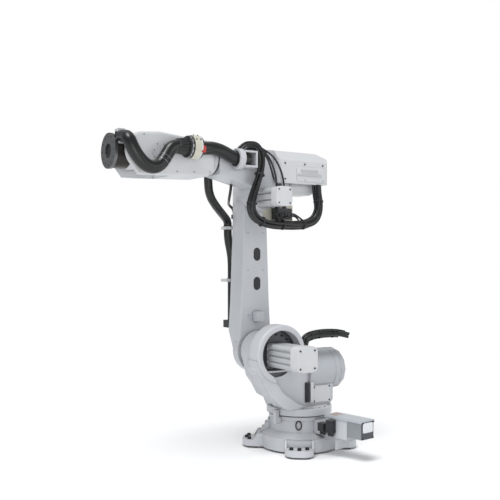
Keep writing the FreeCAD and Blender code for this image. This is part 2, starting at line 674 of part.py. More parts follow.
def rear_motor_housing():
    """Rounded housing under the rear cover."""
    body = block(-66, UPPER_REAR_X + 4, -90, 100, REAR_COVER_BOTTOM - 80, REAR_COVER_BOTTOM)
    return rounded(body, 34,
            lambda e: e.CenterOfMass.z < REAR_COVER_BOTTOM - 79).cut(upper_arm_casting())


def harness_points():
    """Route of the main cable harness at the elbow."""
    return [Vector(SADDLE_REAR_X + 60, 150, AXIS3_Z + 292), Vector(580, 156, AXIS3_Z + 300), Vector(534,
            166, AXIS3_Z + 302),
            Vector(500, 178, AXIS3_Z + 256), Vector(492, 184, AXIS3_Z + 176), Vector(514, 186,
            AXIS3_Z + 76), Vector(560, 186, AXIS3_Z - 38),
            Vector(596, 186, AXIS3_Z - 150), Vector(568, 188, AXIS3_Z - 234), Vector(484, 190,
            AXIS3_Z - 278), Vector(384, 192, AXIS3_Z - 290),
            Vector(270, 192, AXIS3_Z - 288), Vector(160, 192, AXIS3_Z - 286), Vector(60, 190,
            AXIS3_Z - 278), Vector(-14, 186, AXIS3_Z - 244),
            Vector(-50, 182, AXIS3_Z - 180), Vector(-62, 174, AXIS3_Z - 100), Vector(-62, 158,
            AXIS3_Z - 26), Vector(-62, 158, REAR_COVER_BOTTOM)]


def elbow_harness():
    """Main cable harness, held by clips along the elbow."""
    return tube(harness_points(), 36)


def harness_plate():
    """Cream plate that carries the harness under the elbow."""
    plate = block(150, 430, UPPER_FACE_Y - 8, UPPER_FACE_Y, AXIS3_Z - 264, AXIS3_Z - 130)
    return plate.cut(upper_arm_casting())


def connector_block():
    """Black block of connectors on the harness plate."""
    return block(222, 352, UPPER_FACE_Y, 200, AXIS3_Z - 248, AXIS3_Z - 162)


# ---- forearm ------------------------------------------------------------------------------
def forearm_outline(back_x):
    """Side outline of the forearm from its back end to axis 5."""
    return [(back_x, AXIS4_Z - 107), (back_x + 68, AXIS4_Z - 152), (AXIS5_X - 62.5, AXIS4_Z - 166),
            (AXIS5_X + 40, AXIS4_Z - 166), (AXIS5_X + 94, AXIS4_Z - 96), (AXIS5_X, AXIS4_Z + CHEEK_R),
            (AXIS5_X - 126.5, AXIS4_Z + 144), (AXIS5_X - 367.5, AXIS4_Z + 122), (back_x, AXIS4_Z + 108)]


def forearm_casting():
    """Forearm from the bearing of axis 4 to the back of the wrist fork."""
    bearing = rod_x(104, 0, AXIS4_Z, UPPER_FRONT_X + RUN_GAP, FOREARM_BACK_X)
    tail = rod_x(FOREARM_R, 0, AXIS4_Z, FOREARM_BACK_X, CHEEK_BACK_X + 40)
    core = side_plate(forearm_outline(CHEEK_BACK_X), -CHEEK_INNER_Y, CHEEK_INNER_Y)
    sweep = rod_y(FORK_CLEAR_R, AXIS5_X, AXIS4_Z, -CHEEK_INNER_Y - 1, CHEEK_INNER_Y + 1)
    return tail.fuse([core, bearing]).cut(sweep).removeSplitter()


def cheek(side):
    """Side shell of the forearm with its round cover; its front end carries the wrist."""
    near = CHEEK_INNER_Y if side > 0 else -CHEEK_INNER_Y - CHEEK_T
    far = near + CHEEK_T
    plate = side_plate(forearm_outline(CHEEK_BACK_X), near, far)
    plate = plate.fuse(rod_y(CHEEK_R, AXIS5_X, AXIS4_Z, near, far)).removeSplitter()
    outside = far if side > 0 else near
    plate = rounded(plate, CHEEK_T - 4, lambda e: abs(e.CenterOfMass.y - outside) < 0.01)
    cover = rod_y(CHEEK_COVER_R, AXIS5_X - 128, AXIS4_Z + 8, *sorted((outside, outside + side * 7)))
    return plate.fuse(cover)


def clamp_bracket():
    """Bracket that carries the hose clamp on the forearm."""
    arm = block(CLAMP_X - 30, CLAMP_X + 30, CHEEK_INNER_Y + CHEEK_T, CLAMP_Y, AXIS4_Z - 26,
            AXIS4_Z + 66)
    return arm.cut(rod_x(CLAMP_R, CLAMP_Y, CLAMP_Z, CLAMP_X - 31, CLAMP_X + 31))


def ring_x(outer, inner, x0, x1, y, z):
    """Ring along X."""
    return rod_x(outer, y, z, x0, x1).cut(rod_x(inner, y, z, x0, x1))


def hose_clamp():
    """Cream clamp ring that holds the process hose."""
    return ring_x(CLAMP_R, HOSE_R, CLAMP_X - 30, CLAMP_X + 30, CLAMP_Y, CLAMP_Z)


def clamp_rings():
    """Black rings on both sides of the clamp."""
    return Part.makeCompound([ring_x(CLAMP_R - 6, HOSE_R, CLAMP_X + 30, CLAMP_X + 62, CLAMP_Y, CLAMP_Z),
                              ring_x(CLAMP_R - 4, HOSE_R, CLAMP_X - 44, CLAMP_X - 30, CLAMP_Y,
                              CLAMP_Z)])


def clamped_hose():
    """Straight stretch of the process hose inside the clamp."""
    return rod_x(HOSE_R, CLAMP_Y, CLAMP_Z, CLAMP_X - 60, CLAMP_X + 110)


def process_hose_rear():
    """Hose from the collar to the clamp, across axis 4."""
    return tube([Vector(COLLAR_REAR_X - 40, COLLAR_Y, COLLAR_Z), Vector(COLLAR_FRONT_X + 6, COLLAR_Y,
            COLLAR_Z),
                 Vector(786, 172, COLLAR_Z + 24), Vector(864, 200, COLLAR_Z + 44), Vector(952, 228,
                 COLLAR_Z + 52),
                 Vector(1014, CLAMP_Y, CLAMP_Z), Vector(CLAMP_X - 60, CLAMP_Y, CLAMP_Z)], HOSE_R)


def process_hose_front():
    """Hose from the clamp round to the top of the wrist, across axis 5."""
    return tube([Vector(CLAMP_X + 110, CLAMP_Y, CLAMP_Z), Vector(AXIS5_X - 170.5, CLAMP_Y, CLAMP_Z),
            Vector(AXIS5_X - 118.5, 250, AXIS4_Z - 48),
                 Vector(AXIS5_X - 70.5, 256, AXIS4_Z - 110), Vector(AXIS5_X - 6.5, 258, AXIS4_Z - 130),
                 Vector(AXIS5_X + 61.5, 258, AXIS4_Z - 100), Vector(AXIS5_X + 123.5, 254, AXIS4_Z - 20),
                 Vector(AXIS5_X + 153.5, 240, AXIS4_Z + 66), Vector(HOSE_END_X, 190, HOSE_END_Z),
                 Vector(HOSE_END_X, HOSE_END_Y, HOSE_END_Z)], HOSE_R)


# ---- wrist --------------------------------------------------------------------------------
def wrist_casting():
    """Tilting wrist housing between the cheeks, with its bearing faces."""
    barrel = rod_y(TILT_R, AXIS5_X, AXIS4_Z, -TILT_HALF_W, TILT_HALF_W)
    bearing_y = CHEEK_INNER_Y - RUN_GAP
    bearing = rod_y(80, AXIS5_X, AXIS4_Z, -bearing_y, bearing_y)
    neck = rod_x(TILT_R - 4, 0, AXIS4_Z, AXIS5_X, AXIS5_X + 70)
    return barrel.fuse([bearing, neck]).removeSplitter()


def axis6_unit():
    """Dark gear unit of axis 6."""
    end = FLANGE_X - FLANGE_T - BEARING_T
    unit = rod_x(UNIT_R, 0, AXIS4_Z, AXIS5_X + 70, end).cut(wrist_casting())
    return unit.fuse(rod_x(96, 0, AXIS4_Z, end, end + BEARING_T - RUN_GAP)).removeSplitter()


def wrist_bracket():
    """White bracket on top of the gear unit that holds the hose end."""
    plate = block(HOSE_END_X - 24, HOSE_END_X + 24, 54, HOSE_END_Y, AXIS4_Z + 40, HOSE_END_Z + 38)
    return plate.cut(rod_x(UNIT_R, 0, AXIS4_Z, AXIS5_X, FLANGE_X))


def tool_flange():
    """Turning disc with its centre bore and bolt circle."""
    disc = rod_x(FLANGE_R, 0, AXIS4_Z, FLANGE_X - FLANGE_T, FLANGE_X)
    cuts = [rod_x(FLANGE_BORE_R, 0, AXIS4_Z, FLANGE_X - 12, FLANGE_X + 1)]
    for index in range(FLANGE_BOLT_COUNT):
        angle = math.radians(360 / FLANGE_BOLT_COUNT * index)
        y = FLANGE_BOLT_CIRCLE / 2 * math.cos(angle)
        z = AXIS4_Z + FLANGE_BOLT_CIRCLE / 2 * math.sin(angle)
        cuts.append(rod_x(FLANGE_BOLT_HOLE / 2, y, z, FLANGE_X - 18, FLANGE_X + 1))
    return disc.cut(Part.makeCompound(cuts))


# ---- all nodes ----------------------------------------------------------------------------
NODES = {
    "base_casting": base_casting,
    "foot_pads": foot_pads,
    "box_neck": box_neck,
    "connection_box": connection_box,
    "connection_box_lid": box_lid,
    "box_end_cover": box_end_cover,
    "box_bracket": box_bracket,
    "base_connectors": base_connectors,
    "axis1_stop": axis1_stop,
    "turret_casting": turret_casting,
    "turret_panel": turret_panel,
    "axis2_gearbox": axis2_gearbox,
    "axis2_motor": axis2_motor,
    "axis2_motor_cap": axis2_motor_cap,
    "balancing_cylinder": balancing_cylinder,
    "balancing_cap": balancing_cap,
    "axis1_motor": axis1_motor,
    "brake_release_column": brake_release_column,
    "brake_release_guard": brake_release_guard,
    "turret_side_cover": turret_side_cover,
    "cable_gland": cable_gland,
    "pigtail_bundle": pigtail_bundle,
    "lower_arm_casting": lower_arm_casting,
    "arm_outer_cover": arm_outer_cover,
    "axis2_stop_block": stop_block,
    "hose_brackets": hose_brackets,
    "hose_gland": hose_gland,
    "lower_hose": lower_hose,
    "arm_cable_gland": arm_cable_gland,
    "upper_arm_casting": upper_arm_casting,
    "elbow_hose_bracket": elbow_hose_bracket,
    "elbow_hoses": elbow_hoses,
    "hose_collar": hose_collar,
    "axis3_motor": axis3_motor,
    "axis3_motor_cap": axis3_motor_cap,
    "rear_cover": rear_cover,
    "rear_motor_housing": rear_motor_housing,
    "elbow_harness": elbow_harness,
    "harness_plate": harness_plate,
    "connector_block": connector_block,
    "forearm_casting": forearm_casting,
    "near_side_shell": lambda: cheek(1),
    "far_side_shell": lambda: cheek(-1),
    "clamp_bracket": clamp_bracket,
    "hose_clamp": hose_clamp,
    "clamp_rings": clamp_rings,
    "clamped_hose": clamped_hose,
    "process_hose_rear": process_hose_rear,
    "process_hose_front": process_hose_front,
    "wrist_casting": wrist_casting,
    "axis6_unit": axis6_unit,
    "wrist_bracket": wrist_bracket,
    "tool_flange": tool_flange,
}

os.makedirs("parts", exist_ok=True)
for node_name, make in NODES.items():
    shape = make()
    shape.exportStep("parts/" + node_name + ".step")
    print(node_name, "solids", len(shape.Solids), "valid", shape.isValid(), "volume",
            round(shape.Volume / 1e6, 2))
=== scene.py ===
import math

import bpy
import numpy as np
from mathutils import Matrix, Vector


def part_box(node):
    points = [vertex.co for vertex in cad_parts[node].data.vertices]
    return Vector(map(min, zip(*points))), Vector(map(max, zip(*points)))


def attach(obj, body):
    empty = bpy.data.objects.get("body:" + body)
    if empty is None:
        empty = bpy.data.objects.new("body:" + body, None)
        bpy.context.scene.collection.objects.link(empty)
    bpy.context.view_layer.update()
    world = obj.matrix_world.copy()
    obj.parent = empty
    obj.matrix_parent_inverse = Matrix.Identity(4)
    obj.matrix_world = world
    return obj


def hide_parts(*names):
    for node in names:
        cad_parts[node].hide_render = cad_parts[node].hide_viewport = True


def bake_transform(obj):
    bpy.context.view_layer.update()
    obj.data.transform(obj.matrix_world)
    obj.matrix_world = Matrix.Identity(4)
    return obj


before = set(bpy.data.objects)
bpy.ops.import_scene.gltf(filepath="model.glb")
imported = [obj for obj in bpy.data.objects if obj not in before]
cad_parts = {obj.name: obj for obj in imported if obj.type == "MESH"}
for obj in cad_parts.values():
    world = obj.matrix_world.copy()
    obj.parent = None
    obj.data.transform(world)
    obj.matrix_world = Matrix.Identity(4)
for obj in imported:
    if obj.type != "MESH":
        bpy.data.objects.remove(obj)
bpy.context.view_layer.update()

# ---- camera ---------------------------------------------------------------------------------
# The camera stands at chest height, level, off the arm's front left, so that uprights stay upright.
eye = Vector((3.850, 5.029, 1.503))
heading = math.radians(57.394)
camera_data = bpy.data.cameras.new("camera")
camera_data.lens = 56.2
camera_data.sensor_width = 36.0
camera_data.shift_x = 0.034
camera_data.shift_y = 0.0196
camera = bpy.data.objects.new("camera", camera_data)
camera.location = eye
look = Vector((-math.cos(heading), -math.sin(heading), 0))
camera.rotation_euler = look.to_track_quat("-Z", "Y").to_euler()
bpy.context.scene.collection.objects.link(camera)
bpy.context.scene.camera = camera
bpy.context.scene.view_settings.view_transform = "Standard"

# ---- light ----------------------------------------------------------------------------------
# A white studio: one broad soft sun from the front and above, an even white room, and two
# soft boxes whose reflections run along the hoses and the paint. The sun's strength is in watts
# to the square metre, a box's in watts, and a box's spread is its width in metres.
world = bpy.data.worlds.new("studio")
bpy.context.scene.world = world
world.use_nodes = True
room = world.node_tree.nodes["Background"]
room.inputs["Color"].default_value = (0.965, 0.98, 1.0, 1.0)
room.inputs["Strength"].default_value = 0.46
backdrop = world.node_tree.nodes.new("ShaderNodeBackground")
backdrop.inputs["Color"].default_value = (1.0, 1.0, 1.0, 1.0)
backdrop.inputs["Strength"].default_value = 1.0
seen = world.node_tree.nodes.new("ShaderNodeLightPath")
either = world.node_tree.nodes.new("ShaderNodeMixShader")
world.node_tree.links.new(seen.outputs["Is Camera Ray"], either.inputs[0])
world.node_tree.links.new(room.outputs[0], either.inputs[1])
world.node_tree.links.new(backdrop.outputs[0], either.inputs[2])
world.node_tree.links.new(either.outputs[0], world.node_tree.nodes["World Output"].inputs[0])

for light_name, kind, energy, spread, place, target in (
        ("key_sun", "SUN", 2.4, math.radians(30), (2.4, 1.2, 6.0), (0, 0, 0)),
        ("front_box", "AREA", 45, 2.6, (3.0, 5.0, 2.0), (0.3, 0, 0.9)),
        ("side_box", "AREA", 26, 2.2, (-1.8, 4.4, 2.9), (0.2, 0, 1.3))):
    light = bpy.data.lights.new(light_name, kind)
    light.energy = energy
    if kind == "SUN":
        light.angle = spread
    else:
        light.size = spread
    lamp = bpy.data.objects.new(light_name, light)
    lamp.location = place
    lamp.rotation_euler = (Vector(target) - Vector(place)).to_track_quat("-Z", "Y").to_euler()
    bpy.context.scene.collection.objects.link(lamp)


# ---- floor ----------------------------------------------------------------------------------
# Plain pale studio floor, a matt painted sheet far wider than the arm, so that it has no edge
# in any view.
def linear(hex_colour):
    """sRGB hex to linear RGBA: each channel over 12.92 below 0.04045, else the 2.4 power curve."""
    channels = np.array([int(hex_colour[i:i + 2], 16) for i in (1, 3, 5)]) / 255
    light_values = np.where(channels <= 0.04045, channels / 12.92, ((channels + 0.055) / 1.055) ** 2.4)
    return (*light_values.tolist(), 1.0)


def new_material(name):
    """Empty node material, all its nodes cleared; returns the material."""
    made = bpy.data.materials.new(name)
    made.use_nodes = True
    made.node_tree.nodes.clear()
    return made


def add_node(owner, kind, inputs=None, **settings):
    """Adds one node: settings are its own values, inputs are sockets, each set to a value or linked."""
    made = owner.node_tree.nodes.new(kind)
    for key, value in settings.items():
        setattr(made, key, value)
    for socket, value in (inputs or {}).items():
        if isinstance(value, bpy.types.NodeSocket):
            owner.node_tree.links.new(value, made.inputs[socket])
        else:
            made.inputs[socket].default_value = value
    return made


floor_paint = new_material("matt_floor_paint")
floor_spots = add_node(floor_paint, "ShaderNodeTexNoise", {"Scale": 1.3, "Detail": 3.0})
floor_tint = add_node(floor_paint, "ShaderNodeMix",
                      {"Factor": floor_spots.outputs["Fac"], 6: linear("#f3f3f3"), 7: linear("#f6f6f6")},
                      data_type="RGBA")
floor_shader = add_node(floor_paint, "ShaderNodeBsdfPrincipled", {"Base Color": floor_tint.outputs[2],
                                                                  "Roughness": 0.9})
add_node(floor_paint, "ShaderNodeOutputMaterial", {"Surface": floor_shader.outputs[0]})
floor_half = 40.0
floor_mesh = bpy.data.meshes.new("studio_floor")
floor_mesh.from_pydata([(-floor_half, -floor_half, 0), (floor_half, -floor_half, 0),
                        (floor_half, floor_half, 0), (-floor_half, floor_half, 0)], [], [(0, 1, 2, 3)])
floor = bpy.data.objects.new("studio_floor", floor_mesh)
floor.data.materials.append(floor_paint)
bpy.context.scene.collection.objects.link(floor)


# ---- base casting ---------------------------------------------------------------------------
# Grey-iron sand casting, shot-blasted, primed and sprayed with a satin two-part enamel.
# The same sprayed finish is on the turret, both arms and the forearm.
def coat(name, light_hex, shade_hex, worn_hex, gloss, grain_mm, skin_mm, edge_mm, metal=0.0, dust=0.16,
         painted_corner_shade=0.55):
    """Node finish: slow mottling between two tints, five patches to the metre, roughness between the two
    gloss values, a bumpy skin of the given height and grain, edges softened over edge_mm and worn in flakes,
    70 to the metre, dust where it faces up, and painted shade: dark grey in the corners little light reaches."""
    made = new_material(name)
    place = add_node(made, "ShaderNodeTexCoord").outputs["Object"]
    mottle = add_node(made, "ShaderNodeTexNoise",
                      {"Vector": place, "Scale": 5.0, "Detail": 4.0, "Roughness": 0.6})
    tint = add_node(made, "ShaderNodeMix", {"Factor": mottle.outputs["Fac"], 6: linear(light_hex),
                                            7: linear(shade_hex)}, data_type="RGBA")
    soft_edge = add_node(made, "ShaderNodeBevel", {"Radius": edge_mm / 1000}, samples=4)
    shape_of = add_node(made, "ShaderNodeNewGeometry")
    alike = add_node(made, "ShaderNodeVectorMath",
                     {0: soft_edge.outputs[0], 1: shape_of.outputs["True Normal"]}, operation="DOT_PRODUCT")
    edge = add_node(made, "ShaderNodeMapRange", {"Value": alike.outputs["Value"], "From Min": 0.97,
                                                 "From Max": 0.80, "To Min": 0.0, "To Max": 1.0})
    flakes = add_node(made, "ShaderNodeTexNoise",
                      {"Vector": place, "Scale": 70.0, "Detail": 5.0, "Roughness": 0.7})
    flake = add_node(made, "ShaderNodeMapRange", {"Value": flakes.outputs["Fac"], "From Min": 0.50,
                                                  "From Max": 0.66, "To Min": 0.0, "To Max": 0.7})
    worn = add_node(made, "ShaderNodeMath", {0: edge.outputs[0], 1: flake.outputs[0]}, operation="MULTIPLY")
    chipped = add_node(made, "ShaderNodeMix", {"Factor": worn.outputs[0], 6: tint.outputs[2],
                                               7: linear(worn_hex)}, data_type="RGBA")
    upward = add_node(made, "ShaderNodeSeparateXYZ", {0: shape_of.outputs["Normal"]})
    dust_at = add_node(made, "ShaderNodeMapRange", {"Value": upward.outputs["Z"], "From Min": 0.55,
                                                    "From Max": 1.0, "To Min": 0.0, "To Max": dust})
    dusty = add_node(made, "ShaderNodeMix", {"Factor": dust_at.outputs[0], 6: chipped.outputs[2],
                                             7: linear("#cfcdc6")}, data_type="RGBA")
    # Painted shade: where the occlusion node finds corners and creases closed in, the colour goes to dark grey.
    shade_occlusion = add_node(made, "ShaderNodeAmbientOcclusion", {"Distance": 0.035}, samples=6)
    painted_shade_at = add_node(made, "ShaderNodeMapRange", {"Value": shade_occlusion.outputs["AO"], "From Min": 0.15,
                                                     "From Max": 0.80, "To Min": painted_corner_shade, "To Max": 0.0})
    painted_shade_mix = add_node(made, "ShaderNodeMix", {"Factor": painted_shade_at.outputs[0], 6: dusty.outputs[2],
                                             7: linear("#3c3b38")}, data_type="RGBA")
    shine = add_node(made, "ShaderNodeMapRange", {"Value": mottle.outputs["Fac"], "From Min": 0.3,
                                                  "From Max": 0.7, "To Min": gloss[0], "To Max": gloss[1]})
    grain = add_node(made, "ShaderNodeTexNoise", {"Vector": place, "Scale": 1000 / grain_mm, "Detail": 3.0})
    bump = add_node(made, "ShaderNodeBump", {"Strength": 0.55, "Distance": skin_mm / 1000,
                                             "Height": grain.outputs["Fac"], "Normal": soft_edge.outputs[0]})
    shader = add_node(made, "ShaderNodeBsdfPrincipled",
                      {"Base Color": painted_shade_mix.outputs[2], "Metallic": metal, "Roughness": shine.outputs[0],
                       "Normal": bump.outputs[0]})
    add_node(made, "ShaderNodeOutputMaterial", {"Surface": shader.outputs[0]})
    return made


def finish_nodes(made, *names):
    """Puts one finish on every slot of these CAD nodes."""
    for name in names:
        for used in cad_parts[name].material_slots:
            used.material = made


# Sprayed enamel on iron: gives the soft white bodies with a faint orange peel.
cast_enamel = coat("white_enamel_on_cast_iron", "#c3c6ca", "#b7babf", "#77797d", (0.30, 0.46), 9.0, 0.5, 7.0)
finish_nodes(cast_enamel, "base_casting", "turret_casting", "lower_arm_casting", "upper_arm_casting",
             "forearm_casting", "wrist_casting", "axis1_stop", "axis2_stop_block", "turret_panel",
             "arm_outer_cover", "hose_collar", "clamp_bracket", "box_neck", "box_bracket", "wrist_bracket")


# ---- foot bolts -----------------------------------------------------------------------------
# Hexagon-socket cap screws of black-oxide steel, cold-headed, 31 mm across the head. Three hold
# down each foot, 8.5 degrees apart, each on a circle of its own.
def lathe(centre, axis, heights, radii, around=32):
    """Closed skin round an axis: point(s, a) = centre + h(s) n + r(s, a) (cos a e1 + sin a e2)."""
    forward = np.asarray(axis, float) / np.linalg.norm(axis)
    helper = np.array([0.0, 0.0, 1.0]) if abs(forward[2]) < 0.9 else np.array([1.0, 0.0, 0.0])
    first = np.cross(helper, forward)
    first /= np.linalg.norm(first)
    second = np.cross(forward, first)
    angle = np.arange(around) * (2 * math.pi / around)
    radii = np.asarray(radii, float)
    if radii.ndim == 1:
        radii = np.repeat(radii[:, None], around, axis=1)
    turn = np.cos(angle)[:, None] * first + np.sin(angle)[:, None] * second
    return (np.asarray(centre, float) + np.asarray(heights, float)[:, None, None] * forward
            + radii[:, :, None] * turn[None])


def skin(name, body, sheets, made, smooth=0.6):
    """One piece from sheets of points[row, column]: columns wrap round, both ends close on a middle point."""
    points, faces, count = [], [], 0
    for sheet in sheets:
        rows, columns = sheet.shape[:2]
        index = count + np.arange(rows * columns).reshape(rows, columns)
        after = np.roll(index, -1, axis=1)
        quads = np.stack([index[:-1], after[:-1], after[1:], index[1:]], axis=-1).reshape(-1, 4)
        first, last = count + rows * columns, count + rows * columns + 1
        start = np.stack([after[0], index[0], np.full(columns, first)], axis=-1)
        end = np.stack([index[-1], after[-1], np.full(columns, last)], axis=-1)
        faces += quads.tolist() + start.tolist() + end.tolist()
        points += [sheet.reshape(-1, 3), sheet[0].mean(axis=0)[None], sheet[-1].mean(axis=0)[None]]
        count += rows * columns + 2
    mesh = bpy.data.meshes.new(name)
    mesh.from_pydata(np.concatenate(points).tolist(), [], faces)
    mesh.polygons.foreach_set("use_smooth", np.ones(len(faces), bool))
    mesh.set_sharp_from_angle(angle=smooth)
    mesh.update()
    piece = bpy.data.objects.new(name, mesh)
    piece.data.materials.append(made)
    bpy.context.scene.collection.objects.link(piece)
    if body:
        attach(piece, body)
    return piece


def cap_screws(centres, axis, radius, height):
    """Cap screw heads: a short drum with a rounded rim and a hexagon socket sunk half its height."""
    around = 24
    angle = np.arange(around) * (2 * math.pi / around)
    socket = 0.48 * radius / np.cos((angle % (math.pi / 3)) - math.pi / 6)
    rings = np.array([1.0, 1.0, 1.0, 0.97, 0.88])[:, None] * np.full(around, radius)
    radii = np.concatenate([rings, socket[None] * 1.06, socket[None], socket[None] * 0.98])
    heights = np.array([-0.12, 0.0, 0.84, 0.95, 1.0, 1.0, 0.96, 0.45]) * height
    return [lathe(centre, axis, heights, radii, around) for centre in centres]


# Black-oxide steel: gives the small dark sparkling dots of the screw heads.
screw_steel = coat("black_oxide_screw_steel", "#3a3c40", "#2e3034", "#8a8d92", (0.32, 0.5), 3.0, 0.05, 1.0,
                   0.9, 0.1)
# Zinc plate: gives the screws in the painted faces a dull silver glint.
zinc_steel = coat("zinc_plated_screw_steel", "#b9bcc0", "#a6a9ad", "#77797c", (0.28, 0.45), 3.0, 0.05, 1.0,
                  0.9, 0.05)
bolt_circles = (0.826, 0.846, 0.806)
first_foot, bolt_step = -37, 8.5
foot_top = 0.064
bolt_places = []
for foot in range(4):
    for step, circle in zip((-1, 0, 1), bolt_circles):
        angle = math.radians(first_foot + 90 * foot + bolt_step * step)
        bolt_places.append((circle / 2 * math.cos(angle), circle / 2 * math.sin(angle), foot_top))
skin("foot_bolts", "base", cap_screws(bolt_places, (0, 0, 1), 0.0155, 0.018), screw_steel)

# ---- foot pads ------------------------------------------------------------------------------
# Pads under each foot, moulded of black rubber to the outline of the foot. The bolt holes of the
# feet stop at their top.
# Moulded rubber: gives a flat, dark band between the feet and the floor.
pad_rubber = coat("moulded_pad_rubber", "#2b2b2d", "#232325", "#4a4a4a", (0.6, 0.8), 2.5, 0.3, 2.0, 0.0, 0.25)
finish_nodes(pad_rubber, "foot_pads")

# ---- connection box -------------------------------------------------------------------------
# Box that the leads of the base plug into: folded from zinc-plated sheet steel, with a painted
# lid that overhangs it. A frame with a blank plate is screwed over its end.
# Zinc-plated sheet: gives the box a soft, slightly cloudy metal sheen.
box_steel = coat("zinc_plated_box_sheet", "#9ea3a7", "#92979b", "#62676c", (0.34, 0.5), 16.0, 0.12, 2.5, 0.75,
                 0.1)
# Stoved paint on sheet: gives the lid an even grey that is a little darker than the castings.
lid_steel = coat("grey_painted_lid_sheet", "#b4babf", "#a8afb5", "#6f767c", (0.36, 0.5), 7.0, 0.2, 2.5)
finish_nodes(box_steel, "connection_box")
finish_nodes(lid_steel, "connection_box_lid")
# Dark enamel: gives the end frame its near-black border round the blank plate.
frame_paint = coat("dark_frame_enamel", "#4a4f55", "#41464b", "#8b8f93", (0.4, 0.55), 5.0, 0.2, 2.0)
finish_nodes(frame_paint, "box_end_cover")
box_turn = math.radians(98)
box_out = np.array([math.cos(box_turn), math.sin(box_turn), 0.0])
box_side = np.array([-math.sin(box_turn), math.cos(box_turn), 0.0])
box_end = box_out * 0.711


def cushion(centre, normal, upward, width, height, thick, power=10.0, around=64):
    """Thin plate with round corners: |x|^p + |y|^p = 1 stretched to width and height, edge rolled over."""
    normal, upward = np.asarray(normal, float), np.asarray(upward, float)
    across = np.cross(upward, normal)
    angle = np.arange(around) * (2 * math.pi / around)
    reach = (np.abs(np.cos(angle)) ** power + np.abs(np.sin(angle)) ** power) ** (-1 / power)
    edge = ((np.cos(angle) * reach * width / 2)[:, None] * across
            + (np.sin(angle) * reach * height / 2)[:, None] * upward)
    levels = np.array([-0.3, 0.6, 0.88, 1.0, 1.0])
    inset = np.array([1.0, 1.0, 0.985, 0.96, 0.5])
    return (np.asarray(centre, float) + levels[:, None, None] * thick * normal
            + inset[:, None, None] * edge[None])


# Baked enamel on thin sheet: gives the blank plate a brighter, smoother white.
plate_paint = coat("white_plate_enamel", "#dfe2e6", "#d6dade", "#9a9da1", (0.25, 0.4), 5.0, 0.1, 1.5)
skin("box_end_plate", "base", [cushion(box_end + np.array([0, 0, 0.262]), box_out, (0, 0, 1), 0.112, 0.074,
                                       0.004)], plate_paint)
skin("box_end_screws", "base", cap_screws([box_end + box_side * y + np.array([0, 0, z])
                                           for y in (-0.058, 0.058) for z in (0.184, 0.298)],
                                          box_out, 0.006, 0.005), screw_steel)

# ---- base connectors ------------------------------------------------------------------------
# Multi-pole connector hoods, injection moulded of glass-filled polyamide and plugged in under the
# box. Each has two ribbed glands that its leads leave downwards.
# Moulded polyamide: gives a satin black with thin bright edges.
connector_plastic = coat("black_polyamide_moulding", "#242628", "#1d1f21", "#4e5052", (0.38, 0.55), 2.0, 0.12,
                         2.0, 0.0, 0.12)
finish_nodes(connector_plastic, "base_connectors", "cable_gland", "connector_block", "hose_gland",
             "arm_cable_gland", "brake_release_column")
gland_ribs = 1 + 0.06 * np.sign(np.sin(np.arange(48) * math.pi / 4))
gland_profile = np.array([0.013, 0.013, 0.012, 0.010])
gland_top = np.array([0, 0, 0.193])
glands = [lathe(box_out * out + box_side * -side_way + gland_top, (0, 0, -1), np.linspace(0, 0.03, 4),
                gland_profile[:, None] * gland_ribs[None], 48)
          for out, side_way in ((0.332, 0.092), (0.361, 0.092), (0.411, 0.089), (0.440, 0.089))]
skin("connector_glands", "base", glands, connector_plastic)
# Printed vinyl, left blank here: gives the lid one faded reddish patch.
lid_strip = coat("faded_red_lid_strip", "#a98a80", "#9f7f75", "#7c6f6a", (0.4, 0.55), 5.0, 0.1, 1.0)
skin("lid_strip", "base", [cushion(box_out * 0.40 + np.array([0, 0, 0.315]), (0, 0, 1), box_out, 0.09, 0.07,
                                   0.0012)], lid_strip)

# ---- turret ---------------------------------------------------------------------------------
# Slewing turret of grey iron, cast in one with the large ring that carries the lower arm. Its
# round flange is held down by 24 zinc-plated cap screws.
flange_screw_r, flange_top = 0.247, 0.343
ring_places = [(flange_screw_r * math.cos(a), flange_screw_r * math.sin(a), flange_top)
               for a in np.arange(24) * math.pi / 12 + 0.06]
skin("turret_flange_screws", "turret", cap_screws(ring_places, (0, 0, 1), 0.0085, 0.009), zinc_steel)
# Enamel on pressed sheet: gives the covers a slightly brighter and smoother white than the castings.
cover_enamel = coat("white_enamel_on_sheet_cover", "#cbcdcf", "#c0c2c5", "#85878a", (0.26, 0.40), 14.0, 0.25,
                    4.0)
finish_nodes(cover_enamel, "turret_side_cover", "rear_cover", "near_side_shell", "far_side_shell",
             "rear_motor_housing", "brake_release_guard", "axis1_motor", "elbow_hose_bracket", "hose_brackets")
side_low, side_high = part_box("turret_side_cover")
screw_inset = 0.012
corner_x = (side_low[0] + screw_inset, side_high[0] - screw_inset)
corner_z = (side_low[2] + screw_inset, side_high[2] - screw_inset)
skin("side_cover_screws", "turret", cap_screws([(x, side_high[1], z) for x in corner_x for z in corner_z],
                                               (0, 1, 0), 0.006, 0.005), screw_steel)
button_low, button_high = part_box("brake_release_column")
# Moulded ABS: gives six small glossy black buttons on the column.
button_plastic = coat("moulded_button_plastic", "#232426", "#1c1d1f", "#4b4c4e", (0.3, 0.45), 2.0, 0.05, 1.0,
                      0.0, 0.05)
button_x = (button_low[0] + button_high[0]) / 2
button_heights = np.linspace(button_low[2] + 0.018, button_high[2] - 0.018, 6)
skin("brake_buttons", "turret",
     [lathe((button_x, button_high[1] - 0.001, z), (0, 1, 0), [0, 0.004, 0.005, 0.0055, 0.005],
            [0.009, 0.009, 0.0084, 0.006, 0.003], 24) for z in button_heights], button_plastic)

